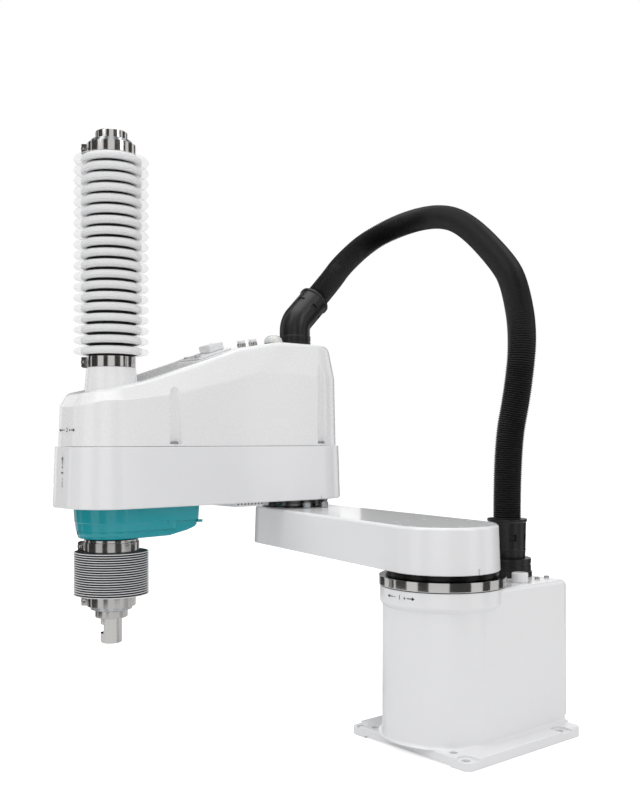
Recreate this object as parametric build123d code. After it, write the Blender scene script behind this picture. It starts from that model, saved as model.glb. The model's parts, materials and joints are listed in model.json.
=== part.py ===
from build123d import *
import math
import os

# Base plate that bolts to the bench, measured from the first joint's axis
PLATE_FRONT = 55.0
PLATE_REAR = 130.0
PLATE_WIDTH = 169.0
PLATE_THICKNESS = 11.0
PLATE_CORNER = 8.0
RELIEF_DEPTH = 2.0
RELIEF_WIDTH = 122.0
RELIEF_LENGTH = 25.0
MOUNT_FRONT = 48.0
MOUNT_PITCH_X = 150.0
MOUNT_PITCH_Y = 150.0
MOUNT_BORE = 9.0
POCKET_WIDTH = 17.0
POCKET_DEPTH = 2.5
DOWEL_FRONT = 44.5
DOWEL_PITCH = 112.0
DOWEL_BORE = 8.0

# Base casting: a column under the first joint with a box behind it
COLUMN_RADIUS = 63.5
COLUMN_HEIGHT = 156.0
COLLAR_RADIUS = 66.5
COLLAR_HEIGHT = 17.0
COLLAR_CONE = 3.5
BOX_REAR = 132.0
BOX_EDGE = 4.0
BASE_WALL = 7.0
BASE_DECK = 12.0
PANEL_THICKNESS = 5.0
PANEL_MARGIN = 4.0
PANEL_CORNER = 4.0
PANEL_SCREW_INSET = 6.0

# Connectors on the rear panel
POWER_RADIUS = 15.0
POWER_LENGTH = 16.0
POWER_HEIGHT = 116.0
POWER_SIDE = 26.0
SIGNAL_WIDTH = 44.0
SIGNAL_HEIGHT = 15.0
SIGNAL_DEPTH = 9.0
SIGNAL_LEVELS = (66.0, 92.0)
AIR_PORT_RADIUS = 5.5
AIR_PORT_LENGTH = 13.0
AIR_PORT_PITCH = 22.0
AIR_PORT_LEVEL = 36.0
AIR_PORT_COUNT = 4

# Small fittings on the base top
CAP_X = -75.0
CAP_Y = 44.0
CAP_RADIUS = 8.8
CAP_HEIGHT = 10.5
CAP_CHAMFER = 1.5
DECK_SCREW_X = (-109.0, -126.0)
DECK_SCREW_Y = 41.0

# First joint: bearing ring, reducer and motor
RING_RADIUS = 67.4
RING_BORE = 48.0
RING_HEIGHT = 10.5
REDUCER_RADIUS = 46.0
REDUCER_FLANGE_RADIUS = 54.0
REDUCER_FLANGE = 8.0
REDUCER_LENGTH = 42.0
OUTPUT_RADIUS = 60.0
OUTPUT_GAP = 0.5
MOTOR_1_RADIUS = 28.0
MOTOR_1_FLANGE = 60.0
MOTOR_1_LENGTH = 86.0
MOTOR_FLANGE_THICKNESS = 8.0

# First arm
ARM_1_LENGTH = 325.0
ARM_1_GAP = 6.0
ARM_1_HEIGHT = 48.5
ARM_1_ROOT_RADIUS = 60.9
ARM_1_TIP_RADIUS = 54.3
ARM_1_DRAFT = 2.0
ARM_1_EDGE = 3.0
ARM_1_WALL = 7.0
ARM_1_TOP_SKIN = 8.0
ARM_1_COVER = 2.0
ARM_1_COVER_LEDGE = 4.0
ROOT_SCREW_COUNT = 12
ROOT_SCREW_CIRCLE = 50.0
ROOT_SCREW_START = 15.0
ZERO_MARK_WIDTH = 2.5
ZERO_MARK_HEIGHT = 6.5
ZERO_MARK_DEPTH = 1.2

# Second joint
ARM_2_GAP = 11.0
BEARING_2_RADIUS = 38.0
BEARING_2_BORE = 30.0
BEARING_2_FLOOR = 6.0
REDUCER_2_RADIUS = 44.5
REDUCER_2_SPIGOT = 46.0
REDUCER_2_GAP = 0.6
STOP_DISTANCE = 56.0
STOP_OFFSET = 13.0
STOP_RADIUS = 5.5
STOP_HEIGHT = 7.5
LUG_WIDTH = 22.0
LUG_INNER = 52.0
LUG_OUTER = 62.0
LUG_HEIGHT = 8.0
MOTOR_2_RADIUS = 29.0
MOTOR_2_FLANGE = 62.0
MOTOR_2_LENGTH = 92.0

# Second arm: an open casting with a tall cover
ARM_2_LENGTH = 275.0
ARM_2_HALF_WIDTH = 61.0
ARM_2_NOSE = 62.5
ARM_2_NOSE_CORNER = 50.0
BAND_HEIGHT = 69.5
BAND_DRAFT = 2.0
BAND_WALL = 6.0
BAND_FLOOR = 8.0
COVER_STEP = 3.6
COVER_WALL = 3.5
COVER_DRAFT = 0.8
COVER_HEIGHT = 133.5
COVER_TOP_HALF = 42.0
COVER_BEVEL_DROP = 41.0
COVER_RISE_START = 57.0
COVER_RISE_BREAK = 122.0
COVER_BREAK_DROP = 12.0
COVER_SLOPE_END = 256.0
COVER_SLOPE_DROP = 57.0
COVER_BREAK_BEVEL = 39.0
COVER_NOSE_BEVEL = 11.0
COVER_NOSE_HEIGHT = 63.5
COVER_NOSE_EDGE = 12.0
COVER_TAIL = 8.0
GROOVE_RADIUS = 9.3
GROOVE_OUTSET = 3.5
GROOVE_FLOOR = 3.1
GROOVE_FRONT_X = 221.0
GROOVE_FRONT_TOP = 66.0
GROOVE_REAR_X = -3.0
GROOVE_REAR_TOP = 118.0

# Vented box under the second arm
VENT_START = 80.0
VENT_LENGTH = 44.0
VENT_WIDTH = 76.0
VENT_DEPTH = 6.0
VENT_WALL = 2.0
VENT_SLOT_COUNT = 8
VENT_SLOT_PITCH = 5.2
VENT_SLOT_WIDTH = 2.6
VENT_SLOT_HEIGHT = 3.4
VENT_SLOT_START = 2.5

# Spindle housing under the nose
HOUSING_SLAB = 18.0
HOUSING_SLAB_RADIUS = 43.2
HOUSING_SLAB_TAIL = 105.0
HOUSING_BOSS = 18.0
HOUSING_BOSS_RADIUS = 39.6
HOUSING_BOSS_CHAMFER = 4.0
HOUSING_WEB_HALF = 34.0
HOUSING_WEB_TAIL = 53.0
HOUSING_NECK_RADIUS = 28.0
HOUSING_NECK = 15.0
NECK_RING_RADIUS = 31.2
NECK_RING_HEIGHT = 2.8

# Shaft, nuts and drive inside the second arm
SHAFT_RADIUS = 12.5
SHAFT_HOLE = 5.5
SHAFT_NOSE = 29.7
SHAFT_GROOVE_WIDTH = 1.2
SHAFT_GROOVE_DEPTH = 0.6
SHAFT_FLAT_DEPTH = 3.5
SHAFT_FLAT_START = 12.0
SHAFT_FLAT_LENGTH = 10.0
SHAFT_FLAT_ANGLE = -28.0
SPLINE_NUT_RADIUS = 18.0
SPLINE_BEARING_RADIUS = 24.0
SPLINE_BEARING_LENGTH = 24.0
NUT_PULLEY_RADIUS = 26.0
PULLEY_WIDTH = 14.0
PULLEY_RIM = 1.5
BELT_WIDTH = 10.0
BELT_THICKNESS = 1.6
SPLINE_PULLEY_LIFT = 11.0
BRACKET_LIFT = 29.0
BRACKET_THICKNESS = 6.0
BRACKET_HALF_WIDTH = 47.0
BRACKET_TAIL = 128.0
BRACKET_NOSE = 34.0
BRACKET_POST_RADIUS = 5.0
SCREW_NUT_RADIUS = 20.0
SCREW_BEARING_RADIUS = 27.0
SCREW_BEARING_LENGTH = 10.0
SCREW_PULLEY_LIFT = 14.0
SCREW_NUT_LENGTH = 44.0
MOTOR_3_BACK = 90.0
MOTOR_3_Y = 28.0
MOTOR_4_BACK = 75.0
MOTOR_4_Y = -28.0
SMALL_MOTOR_RADIUS = 19.0
SMALL_MOTOR_LENGTH = 58.0
SMALL_PULLEY_RADIUS = 13.0
SMALL_SHAFT_RADIUS = 4.0

# Bellows, their clamps and the heads that carry them on the shaft
CONE_BASE_RADIUS = 31.5
CONE_TOP_RADIUS = 28.2
CONE_TOP_LIFT = 28.5
CONE_FLANGE_RADIUS = 38.0
CONE_FLANGE = 4.0
CONE_BORE = 14.0
NECK_RADIUS = 24.0
CUFF_THICKNESS = 1.8
CLAMP_THICKNESS = 1.8
CLAMP_HEIGHT = 12.5
NECK_CLAMP_HEIGHT = 10.8
CLAMP_BLOCK_WIDTH = 14.0
CLAMP_BLOCK_REACH = 5.5
CLAMP_SCREW_RADIUS = 2.6
CLAMP_ANGLE = -38.0
BELLOWS_RADIUS = 43.2
BELLOWS_ROOT = 25.0
BELLOWS_WALL = 0.9
BELLOWS_PLEATS = 19
UPPER_BELLOWS_LENGTH = 234.5
LOWER_BELLOWS_LENGTH = 51.5
LOWER_BELLOWS_ROOT = 30.5
HEAD_LENGTH = 16.5
UPPER_HEAD_LENGTH = 16.8
TOP_COLLAR_RADIUS = 18.6
TOP_COLLAR_HEIGHT = 10.4
LOW_COLLAR_RADIUS = 19.0
LOW_COLLAR_HEIGHT = 9.2
COLLAR_SLIT = 1.6
COLLAR_CHAMFER = 1.0

# Hose and its fittings
HOSE_RADIUS = 16.0
HOSE_WALL = 2.5
FITTING_X = -108.0
FITTING_Y = 0.0
FITTING_FOOT_RADIUS = 27.8
FITTING_FOOT = 5.7
FITTING_NUT_RADIUS = 26.7
FITTING_NUT = 14.7
FITTING_BODY_RADIUS = 21.4
FITTING_TAPER = 1.2
FITTING_BODY = 41.6
FITTING_RIM_RADIUS = 22.3
FITTING_RIM = 3.0
FITTING_BORE = 13.5
FITTING_WINDOWS = 6
WINDOW_WIDTH = 8.5
WINDOW_HEIGHT = 7.5
WINDOW_DEPTH = 1.6
WINDOW_LEVEL = 20.0
ELBOW_COLLAR_RADIUS = 21.2
ELBOW_COLLAR = 14.5
ELBOW_NECK = 17.0
ELBOW_REACH = 49.0
ELBOW_RADIUS = 20.4
ELBOW_RIM_RADIUS = 22.0
ELBOW_RIM = 3.0

# Small fittings on the cover
LAMP_X = 52.0
LAMP_Y = 20.0
LAMP_RADIUS = 12.0
LAMP_FOOT = 2.0
LAMP_HEIGHT = 11.0
TOP_PORT_X = 86.0
TOP_PORT_Y = (-3.0, 22.0)
TOP_PORT_RADIUS = 5.5
TOP_PORT_HEIGHT = 8.5
SOCKET_START = 100.0
SOCKET_PLATE_LENGTH = 50.0
SOCKET_PLATE_WIDTH = 50.0
SOCKET_PLATE_THICKNESS = 2.0
SOCKET_SIDE = 0.0
SOCKET_LENGTH = 22.0
SOCKET_WIDTH = 24.0
SOCKET_HEIGHT = 9.0

# Fits, fasteners and the pose of the arms
SEAT_CLEARANCE = 0.2
RUNNING_CLEARANCE = 0.05
SOFT_CLEARANCE = 0.3
CUT = 1.0
M4_HEAD_RADIUS = 3.5
M4_HEAD_HEIGHT = 3.0
M4_SOCKET = 3.0
M3_HEAD_RADIUS = 2.8
M3_HEAD_HEIGHT = 2.0
ARM_1_ANGLE = -100.0
ARM_2_ANGLE = 100.0

# Bends of the hose between its two fittings, on the way up and on the way over
HOSE_RISE = 80.0
HOSE_STUB = 40.0
HOSE_DROP = 41.0
HOSE_BENDS_LOWER = (
    (-113.0, 11.0, 374.0),
    (-116.0, 17.0, 439.0),
    (-131.0, -6.0, 496.0),
    (-152.0, -38.0, 530.0),
)
HOSE_BENDS_UPPER = (
    (-206.0, -143.0, 602.0),
    (-231.0, -211.0, 631.0),
    (-228.0, -273.0, 633.0),
    (-199.0, -323.0, 611.0),
    (-152.0, -331.0, 570.0),
)

# Levels above the bench, stacked from the sizes above
PLATE_TOP = PLATE_THICKNESS
BASE_TOP = PLATE_TOP + COLUMN_HEIGHT
RING_TOP = BASE_TOP + RING_HEIGHT
ARM_1_BOTTOM = RING_TOP + ARM_1_GAP
ARM_1_TOP = ARM_1_BOTTOM + ARM_1_HEIGHT
ARM_2_BOTTOM = ARM_1_TOP + ARM_2_GAP
BAND_FLOOR_TOP = ARM_2_BOTTOM + BAND_FLOOR
BAND_TOP = ARM_2_BOTTOM + BAND_HEIGHT
COVER_TOP = BAND_TOP + COVER_HEIGHT
COVER_NOSE_TOP = BAND_TOP + COVER_NOSE_HEIGHT
HOUSING_BOTTOM = ARM_2_BOTTOM - HOUSING_SLAB - HOUSING_BOSS
NECK_BOTTOM = HOUSING_BOTTOM - HOUSING_NECK
NECK_RING_TOP = HOUSING_BOTTOM - 1.8
LOWER_CLAMP_TOP = NECK_RING_TOP - NECK_RING_HEIGHT
CONE_TOP = COVER_NOSE_TOP + CONE_TOP_LIFT
UPPER_BELLOWS_BOTTOM = CONE_TOP + CLAMP_HEIGHT
UPPER_BELLOWS_TOP = UPPER_BELLOWS_BOTTOM + UPPER_BELLOWS_LENGTH
LOWER_BELLOWS_TOP = LOWER_CLAMP_TOP - NECK_CLAMP_HEIGHT
LOWER_BELLOWS_BOTTOM = LOWER_BELLOWS_TOP - LOWER_BELLOWS_LENGTH
SHAFT_TOP = UPPER_BELLOWS_TOP + UPPER_HEAD_LENGTH + SOFT_CLEARANCE + TOP_COLLAR_HEIGHT
LOW_COLLAR_BOTTOM = LOWER_BELLOWS_BOTTOM - HEAD_LENGTH - SOFT_CLEARANCE - LOW_COLLAR_HEIGHT
SHAFT_BOTTOM = LOW_COLLAR_BOTTOM - SHAFT_NOSE
MOTOR_3_X = ARM_2_LENGTH - MOTOR_3_BACK
MOTOR_4_X = ARM_2_LENGTH - MOTOR_4_BACK
BRACKET_BOTTOM = BAND_FLOOR_TOP + BRACKET_LIFT
BRACKET_TOP = BRACKET_BOTTOM + BRACKET_THICKNESS
SPLINE_PULLEY_BOTTOM = BAND_FLOOR_TOP + SPLINE_PULLEY_LIFT
SCREW_PULLEY_BOTTOM = BRACKET_TOP + SCREW_PULLEY_LIFT
COVER_HALF_WIDTH = ARM_2_HALF_WIDTH - BAND_HEIGHT * math.tan(math.radians(BAND_DRAFT)) - COVER_STEP
ON_FLOOR = (Align.CENTER, Align.CENTER, Align.MIN)


def disc(radius, bottom, top, x=0.0, y=0.0):
    """Upright cylinder between two levels."""
    return Pos(x, y, bottom) * Cylinder(radius, top - bottom, align=ON_FLOOR)


def ring(outer, inner, bottom, top, x=0.0, y=0.0):
    """Upright tube between two levels."""
    return disc(outer, bottom, top, x, y) - disc(inner, bottom - CUT, top + CUT, x, y)


def block(x_low, x_high, y_low, y_high, z_low, z_high):
    """Box between the given planes."""
    centre = Pos((x_low + x_high) / 2, (y_low + y_high) / 2, z_low)
    return centre * Box(x_high - x_low, y_high - y_low, z_high - z_low, align=ON_FLOOR)


def around(count, radius, start=0.0):
    """Points evenly spaced on a circle."""
    angles = [math.radians(start + index * 360.0 / count) for index in range(count)]
    return [(radius * math.cos(angle), radius * math.sin(angle)) for angle in angles]


def hull_of(circles, level):
    """Outline wrapped tightly around circles given as (x, y, radius)."""
    rings = [Pos(x, y) * Circle(radius) for x, y, radius in circles]
    edges = [edge for one in rings for edge in one.edges()]
    return Pos(0, 0, level) * make_hull(edges)


def cap_screws(points, seat, radius=M4_HEAD_RADIUS, height=M4_HEAD_HEIGHT, down=False):
    """Hexagon socket heads standing on a seat level, or hanging below it."""
    heads = []
    for x, y in points:
        low = seat - height if down else seat
        socket = extrude(RegularPolygon(radius * 0.5, 6), height / 2 + CUT)
        lift = low - CUT if down else low + height / 2
        heads.append(disc(radius, low, low + height, x, y) - Pos(x, y, lift) * socket)
    return Compound(children=heads)


def on_arm_1(shape):
    """Turns a shape drawn along +X into the first arm's place."""
    return Rot(0, 0, ARM_1_ANGLE) * shape


def on_arm_2(shape):
    """Moves a shape drawn from the second joint along +X into the second arm's place."""
    angle = math.radians(ARM_1_ANGLE)
    elbow = Pos(ARM_1_LENGTH * math.cos(angle), ARM_1_LENGTH * math.sin(angle), 0)
    return elbow * Rot(0, 0, ARM_1_ANGLE + ARM_2_ANGLE) * shape


def save(name, shape):
    """Writes one sub-part to its own file."""
    shape.label = name
    export_step(shape, os.path.join("parts", name + ".step"))


def mount_points():
    """Centres of the four bench bolts."""
    columns = (MOUNT_FRONT, MOUNT_FRONT - MOUNT_PITCH_X)
    rows = (-MOUNT_PITCH_Y / 2, MOUNT_PITCH_Y / 2)
    return [(x, y) for x in columns for y in rows]


def base_plate():
    """Bench plate with open bolt pockets, dowel holes and relieved ends."""
    half = PLATE_WIDTH / 2
    plate = block(-PLATE_REAR, PLATE_FRONT, -half, half, 0, PLATE_TOP)
    plate = fillet(plate.edges().filter_by(Axis.Z), PLATE_CORNER)
    floor = PLATE_TOP - POCKET_DEPTH
    for x, y in mount_points():
        side = math.copysign(1.0, y)
        plate -= disc(MOUNT_BORE / 2, -CUT, PLATE_TOP + CUT, x, y)
        plate -= disc(POCKET_WIDTH / 2, floor, PLATE_TOP + CUT, x, y)
        edge = sorted((y, side * (half + CUT)))
        reach = POCKET_WIDTH / 2
        plate -= block(x - reach, x + reach, edge[0], edge[1], floor, PLATE_TOP + CUT)
    for y in (-DOWEL_PITCH / 2, DOWEL_PITCH / 2):
        plate -= disc(DOWEL_BORE / 2, -CUT, PLATE_TOP + CUT, DOWEL_FRONT, y)
    relief = RELIEF_WIDTH / 2
    front = PLATE_FRONT - RELIEF_LENGTH
    rear = -PLATE_REAR + RELIEF_LENGTH
    plate -= block(front, PLATE_FRONT + CUT, -relief, relief, -CUT, RELIEF_DEPTH)
    plate -= block(-PLATE_REAR - CUT, rear, -relief, relief, -CUT, RELIEF_DEPTH)
    return plate


def base_casting():
    """Plate, column and box in one casting, open at the rear and at the reducer's bore."""
    box = block(-BOX_REAR, 0, -COLUMN_RADIUS, COLUMN_RADIUS, CUT, BASE_TOP)
    rims = box.edges().filter_by(Axis.X).group_by(Axis.Z)[-1]
    box = fillet(rims, BOX_EDGE)
    column = disc(COLUMN_RADIUS, CUT, BASE_TOP)
    collar_low = BASE_TOP - COLLAR_HEIGHT
    collar = disc(COLLAR_RADIUS, collar_low, BASE_TOP)
    cone = Pos(0, 0, collar_low - COLLAR_CONE) * Cone(COLUMN_RADIUS, COLLAR_RADIUS, COLLAR_CONE, align=ON_FLOOR)
    body = base_plate() + box + column + collar + cone
    inner = COLUMN_RADIUS - BASE_WALL
    roof = BASE_TOP - BASE_DECK
    body -= block(-BOX_REAR - CUT, 0, -inner, inner, PLATE_TOP, roof)
    body -= disc(inner, PLATE_TOP, roof)
    body -= disc(REDUCER_RADIUS + SEAT_CLEARANCE, roof - CUT, BASE_TOP + CUT)
    body -= disc(FITTING_BORE, roof - CUT, BASE_TOP + CUT, FITTING_X, FITTING_Y)
    return body


def j1_bearing_ring():
    """Machined ring of the crossed-roller bearing on top of the column."""
    part = ring(RING_RADIUS, RING_BORE, BASE_TOP, RING_TOP)
    rims = part.edges().filter_by(GeomType.CIRCLE).filter_by(lambda edge: edge.radius > RING_BORE + CUT)
    return chamfer(rims, 0.6)


def j1_reducer():
    """Strain-wave reducer bolted under the base deck."""
    roof = BASE_TOP - BASE_DECK
    body = disc(REDUCER_RADIUS, BASE_TOP - REDUCER_LENGTH, BASE_TOP)
    return body + disc(REDUCER_FLANGE_RADIUS, roof - REDUCER_FLANGE, roof)


def motor(x, y, radius, flange, top, length):
    """Servo motor hanging below its square flange, with a rear cap and a cable outlet."""
    low = top - length
    half = flange / 2
    plate = block(x - half, x + half, y - half, y + half, top - MOTOR_FLANGE_THICKNESS, top)
    plate = chamfer(plate.edges().filter_by(Axis.Z), flange * 0.08)
    body = disc(radius, low + 4.0, top - MOTOR_FLANGE_THICKNESS + CUT, x, y)
    cap = disc(radius - 2.0, low, low + 4.0 + CUT, x, y)
    outlet = block(x - 8, x + 8, y - radius - 6.0, y - radius + 4.0, low + 6.0, low + 20.0)
    return plate + body + cap + outlet


def j1_motor():
    """Motor of the first joint, face to face with its reducer."""
    top = BASE_TOP - REDUCER_LENGTH
    return motor(0, 0, MOTOR_1_RADIUS, MOTOR_1_FLANGE, top, MOTOR_1_LENGTH)


def base_rear_panel():
    """Flat panel that closes the back of the base box."""
    half = COLUMN_RADIUS - PANEL_MARGIN
    rear = -BOX_REAR - PANEL_THICKNESS
    low = PLATE_TOP + PANEL_MARGIN
    high = BASE_TOP - PANEL_MARGIN
    panel = block(rear, -BOX_REAR, -half, half, low, high)
    return fillet(panel.edges().filter_by(Axis.X), PANEL_CORNER)


def panel_face():
    """Plane of the panel's outer face, looking to the rear."""
    return Plane(origin=(-BOX_REAR - PANEL_THICKNESS, 0, 0), x_dir=(0, -1, 0), z_dir=(-1, 0, 0))


def panel_screws():
    """Six screw heads along the panel's two upright edges."""
    half = COLUMN_RADIUS - PANEL_MARGIN - PANEL_SCREW_INSET
    low = PLATE_TOP + PANEL_MARGIN + PANEL_SCREW_INSET
    high = BASE_TOP - PANEL_MARGIN - PANEL_SCREW_INSET
    levels = (low, (low + high) / 2, high)
    points = [(side * half, level) for side in (-1, 1) for level in levels]
    return panel_face() * cap_screws(points, 0.0)


def power_connector():
    """Round locking power connector on the rear panel."""
    body = disc(POWER_RADIUS, 0, POWER_LENGTH, POWER_SIDE, POWER_HEIGHT)
    nut = disc(POWER_RADIUS + 2.5, 0, 4.0, POWER_SIDE, POWER_HEIGHT)
    recess = ring(POWER_RADIUS - 2.5, POWER_RADIUS - 7.0, 6.0, POWER_LENGTH + CUT, POWER_SIDE, POWER_HEIGHT)
    return panel_face() * (body + nut - recess)


def signal_connectors():
    """Two flat signal connectors, one above the other."""
    pieces = []
    for level in SIGNAL_LEVELS:
        half = SIGNAL_WIDTH / 2
        tall = SIGNAL_HEIGHT / 2
        shell = block(-half, half, level - tall, level + tall, 0, SIGNAL_DEPTH)
        shell = fillet(shell.edges().filter_by(Axis.Z), 3.0)
        shell -= block(-half + 2.5, half - 2.5, level - tall + 2.5, level + tall - 2.5, 3.0, SIGNAL_DEPTH + CUT)
        pieces.append(shell)
    return panel_face() * Compound(children=pieces)


def row_points(count, pitch, level):
    """Points of a centred row."""
    return [((index - (count - 1) / 2) * pitch, level) for index in range(count)]


def base_air_ports():
    """Row of push-in air fittings low on the rear panel."""
    pieces = []
    for x, y in row_points(AIR_PORT_COUNT, AIR_PORT_PITCH, AIR_PORT_LEVEL):
        stem = disc(AIR_PORT_RADIUS, 0, AIR_PORT_LENGTH, x, y)
        collet = disc(AIR_PORT_RADIUS - 1.2, AIR_PORT_LENGTH - CUT, AIR_PORT_LENGTH + 2.0, x, y)
        bore = disc(AIR_PORT_RADIUS - 2.8, 4.0, AIR_PORT_LENGTH + 2.0 + CUT, x, y)
        pieces.append(stem + collet - bore)
    return panel_face() * Compound(children=pieces)


def base_cap_post():
    """White screw cap beside the hose on the base top."""
    cap = disc(CAP_RADIUS, BASE_TOP, BASE_TOP + CAP_HEIGHT, CAP_X, CAP_Y)
    return chamfer(cap.edges().group_by(Axis.Z)[-1], CAP_CHAMFER)


def base_deck_screws():
    """Small screw heads at the rear of the base top."""
    points = [(x, side * DECK_SCREW_Y) for x in DECK_SCREW_X for side in (-1, 1)]
    return cap_screws(points, BASE_TOP, M3_HEAD_RADIUS, M3_HEAD_HEIGHT)


def windowed_tube(low_radius, top_radius, bore, length, start):
    """Fitting body with a ring of shallow latch windows, standing on z = 0."""
    body = Cone(low_radius, top_radius, length, align=ON_FLOOR) - disc(bore, -CUT, length + CUT)
    low = length - WINDOW_LEVEL - WINDOW_HEIGHT / 2
    for index in range(FITTING_WINDOWS):
        cutter = block(low_radius - WINDOW_DEPTH, low_radius + 2 * CUT, -WINDOW_WIDTH / 2, WINDOW_WIDTH / 2,
                       low, low + WINDOW_HEIGHT)
        body -= Rot(0, 0, start + index * 360.0 / FITTING_WINDOWS) * cutter
    return body


def hose_base_nut():
    """Foot flange and union nut of the hose fitting on the base."""
    low = BASE_TOP
    foot = ring(FITTING_FOOT_RADIUS, FITTING_BORE, low, low + FITTING_FOOT, FITTING_X, FITTING_Y)
    top = low + FITTING_FOOT + FITTING_NUT
    nut = ring(FITTING_NUT_RADIUS, FITTING_BORE, low + FITTING_FOOT, top, FITTING_X, FITTING_Y)
    groove_low = low + FITTING_FOOT + FITTING_NUT * 0.62
    groove = ring(FITTING_NUT_RADIUS + CUT, FITTING_NUT_RADIUS - 0.8, groove_low, groove_low + 1.4,
                  FITTING_X, FITTING_Y)
    return foot + nut - groove


def hose_base_fitting():
    """Straight hose connector with latch windows and a thin rim."""
    low = BASE_TOP + FITTING_FOOT + FITTING_NUT
    top_radius = FITTING_BODY_RADIUS
    body = windowed_tube(top_radius - FITTING_TAPER, top_radius, FITTING_BORE, FITTING_BODY, 57.0)
    rim = ring(FITTING_RIM_RADIUS, FITTING_BORE, FITTING_BODY, FITTING_BODY + FITTING_RIM)
    return Pos(FITTING_X, FITTING_Y, low) * (body + rim)


def smooth_path(points):
    """Straight runs joined by the largest arcs that the runs allow."""
    radii = []
    for before, here, after in zip(points, points[1:], points[2:]):
        shorter = min((here - before).length, (after - here).length)
        turn = math.radians((here - before).get_angle(after - here))
        radii.append(0.45 * shorter / math.tan(turn / 2))
    print("bend radii", [round(radius) for radius in radii])
    return FilletPolyline(*points, radius=radii)


def hose_start():
    """Top face of the base fitting."""
    return Vector(FITTING_X, FITTING_Y, BASE_TOP + FITTING_FOOT + FITTING_NUT + FITTING_BODY + FITTING_RIM)


def hose_end():
    """Rim face of the elbow fitting, and the way the hose leaves it."""
    bend = on_arm_2(Pos(0, 0, COVER_TOP + ELBOW_COLLAR + ELBOW_NECK)) * Rot(0, -45, 0)
    rim = (bend * Pos(0, 0, ELBOW_REACH)).position
    return rim, (rim - bend.position).normalized()


def hose_lower():
    """Straight foot of the hose, standing in the base fitting."""
    start = hose_start()
    return ring(HOSE_RADIUS, HOSE_RADIUS - HOSE_WALL, start.Z, start.Z + HOSE_STUB, start.X, start.Y)


def hose_upper():
    """Rest of the hose, over both joints and down to the elbow."""
    start = hose_start()
    rim, away = hose_end()
    bends = [Vector(*bend) for bend in HOSE_BENDS_LOWER + HOSE_BENDS_UPPER]
    lift = [start + Vector(0, 0, HOSE_STUB), start + Vector(0, 0, HOSE_RISE)]
    return hose([*lift, *bends, rim + away * HOSE_DROP, rim])


def hose(points):
    """Plain tube along a route of corner points."""
    path = smooth_path(points)
    section = Circle(HOSE_RADIUS) - Circle(HOSE_RADIUS - HOSE_WALL)
    start = Plane(origin=path @ 0, z_dir=path % 0)
    tube = sweep(start * section, path=path)
    area = math.pi * (HOSE_RADIUS ** 2 - (HOSE_RADIUS - HOSE_WALL) ** 2)
    print("hose length", round(path.length, 1), "volume ratio", round(tube.volume / (area * path.length), 4))
    return tube


def arm_1_outline(inset, level):
    """Tapered outline of the first arm."""
    root = ARM_1_ROOT_RADIUS - inset
    tip = ARM_1_TIP_RADIUS - inset
    return hull_of(((0, 0, root), (ARM_1_LENGTH, 0, tip)), level)


def arm_1_pocket(inset, low, high):
    """Hollow between the two hubs of the first arm."""
    form = extrude(arm_1_outline(inset, low), high - low)
    start = OUTPUT_RADIUS + ARM_1_WALL - ARM_1_COVER_LEDGE + inset
    end = ARM_1_LENGTH - BEARING_2_RADIUS - ARM_1_WALL + ARM_1_COVER_LEDGE - inset
    reach = ARM_1_ROOT_RADIUS + CUT
    return form & block(start, end, -reach, reach, low, high)


def arm_1_casting():
    """First arm, hollow from below, with the screw circle and the second joint's bore."""
    body = extrude(arm_1_outline(0, ARM_1_BOTTOM), ARM_1_HEIGHT, taper=ARM_1_DRAFT)
    body = fillet(body.faces().sort_by(Axis.Z)[-1].edges(), ARM_1_EDGE)
    ledge = ARM_1_BOTTOM + ARM_1_COVER
    body -= arm_1_pocket(ARM_1_WALL, ledge - CUT, ARM_1_TOP - ARM_1_TOP_SKIN)
    inset = ARM_1_WALL - ARM_1_COVER_LEDGE
    body -= arm_1_pocket(inset, ARM_1_BOTTOM - CUT, ledge)
    for x, y in around(ROOT_SCREW_COUNT, ROOT_SCREW_CIRCLE, ROOT_SCREW_START):
        recess = ARM_1_TOP - M4_HEAD_HEIGHT - CUT
        body -= disc(M4_HEAD_RADIUS + SOFT_CLEARANCE, recess, ARM_1_TOP + CUT, x, y)
    floor = ARM_1_BOTTOM + BEARING_2_FLOOR
    body -= disc(BEARING_2_RADIUS + SEAT_CLEARANCE, floor, ARM_1_TOP + CUT, ARM_1_LENGTH)
    body -= disc(BEARING_2_BORE + CUT, ARM_1_BOTTOM - CUT, floor + CUT, ARM_1_LENGTH)
    back = -ARM_1_ROOT_RADIUS
    body -= block(back - CUT, back + ZERO_MARK_DEPTH, -ZERO_MARK_WIDTH / 2, ZERO_MARK_WIDTH / 2,
                  ARM_1_BOTTOM - CUT, ARM_1_BOTTOM + ZERO_MARK_HEIGHT)
    return on_arm_1(body)


def arm_1_root_screws():
    """Sunk screws that hold the first arm to its reducer."""
    points = around(ROOT_SCREW_COUNT, ROOT_SCREW_CIRCLE, ROOT_SCREW_START + ARM_1_ANGLE)
    return cap_screws(points, ARM_1_TOP - M4_HEAD_HEIGHT - CUT)


def arm_1_bottom_cover():
    """Plate let into the first arm's underside."""
    inset = ARM_1_WALL - ARM_1_COVER_LEDGE + SEAT_CLEARANCE
    return on_arm_1(arm_1_pocket(inset, ARM_1_BOTTOM, ARM_1_BOTTOM + ARM_1_COVER))


def arm_1_cover_screws():
    """Screw heads under the cover plate."""
    start = OUTPUT_RADIUS + 2 * ARM_1_WALL
    end = ARM_1_LENGTH - BEARING_2_RADIUS - 2 * ARM_1_WALL
    side = ARM_1_TIP_RADIUS - 2 * ARM_1_WALL
    columns = (start, (start + end) / 2, end)
    points = [(x, side * sign) for x in columns for sign in (-1, 1)]
    return on_arm_1(cap_screws(points, ARM_1_BOTTOM, M3_HEAD_RADIUS, M3_HEAD_HEIGHT, down=True))


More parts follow.
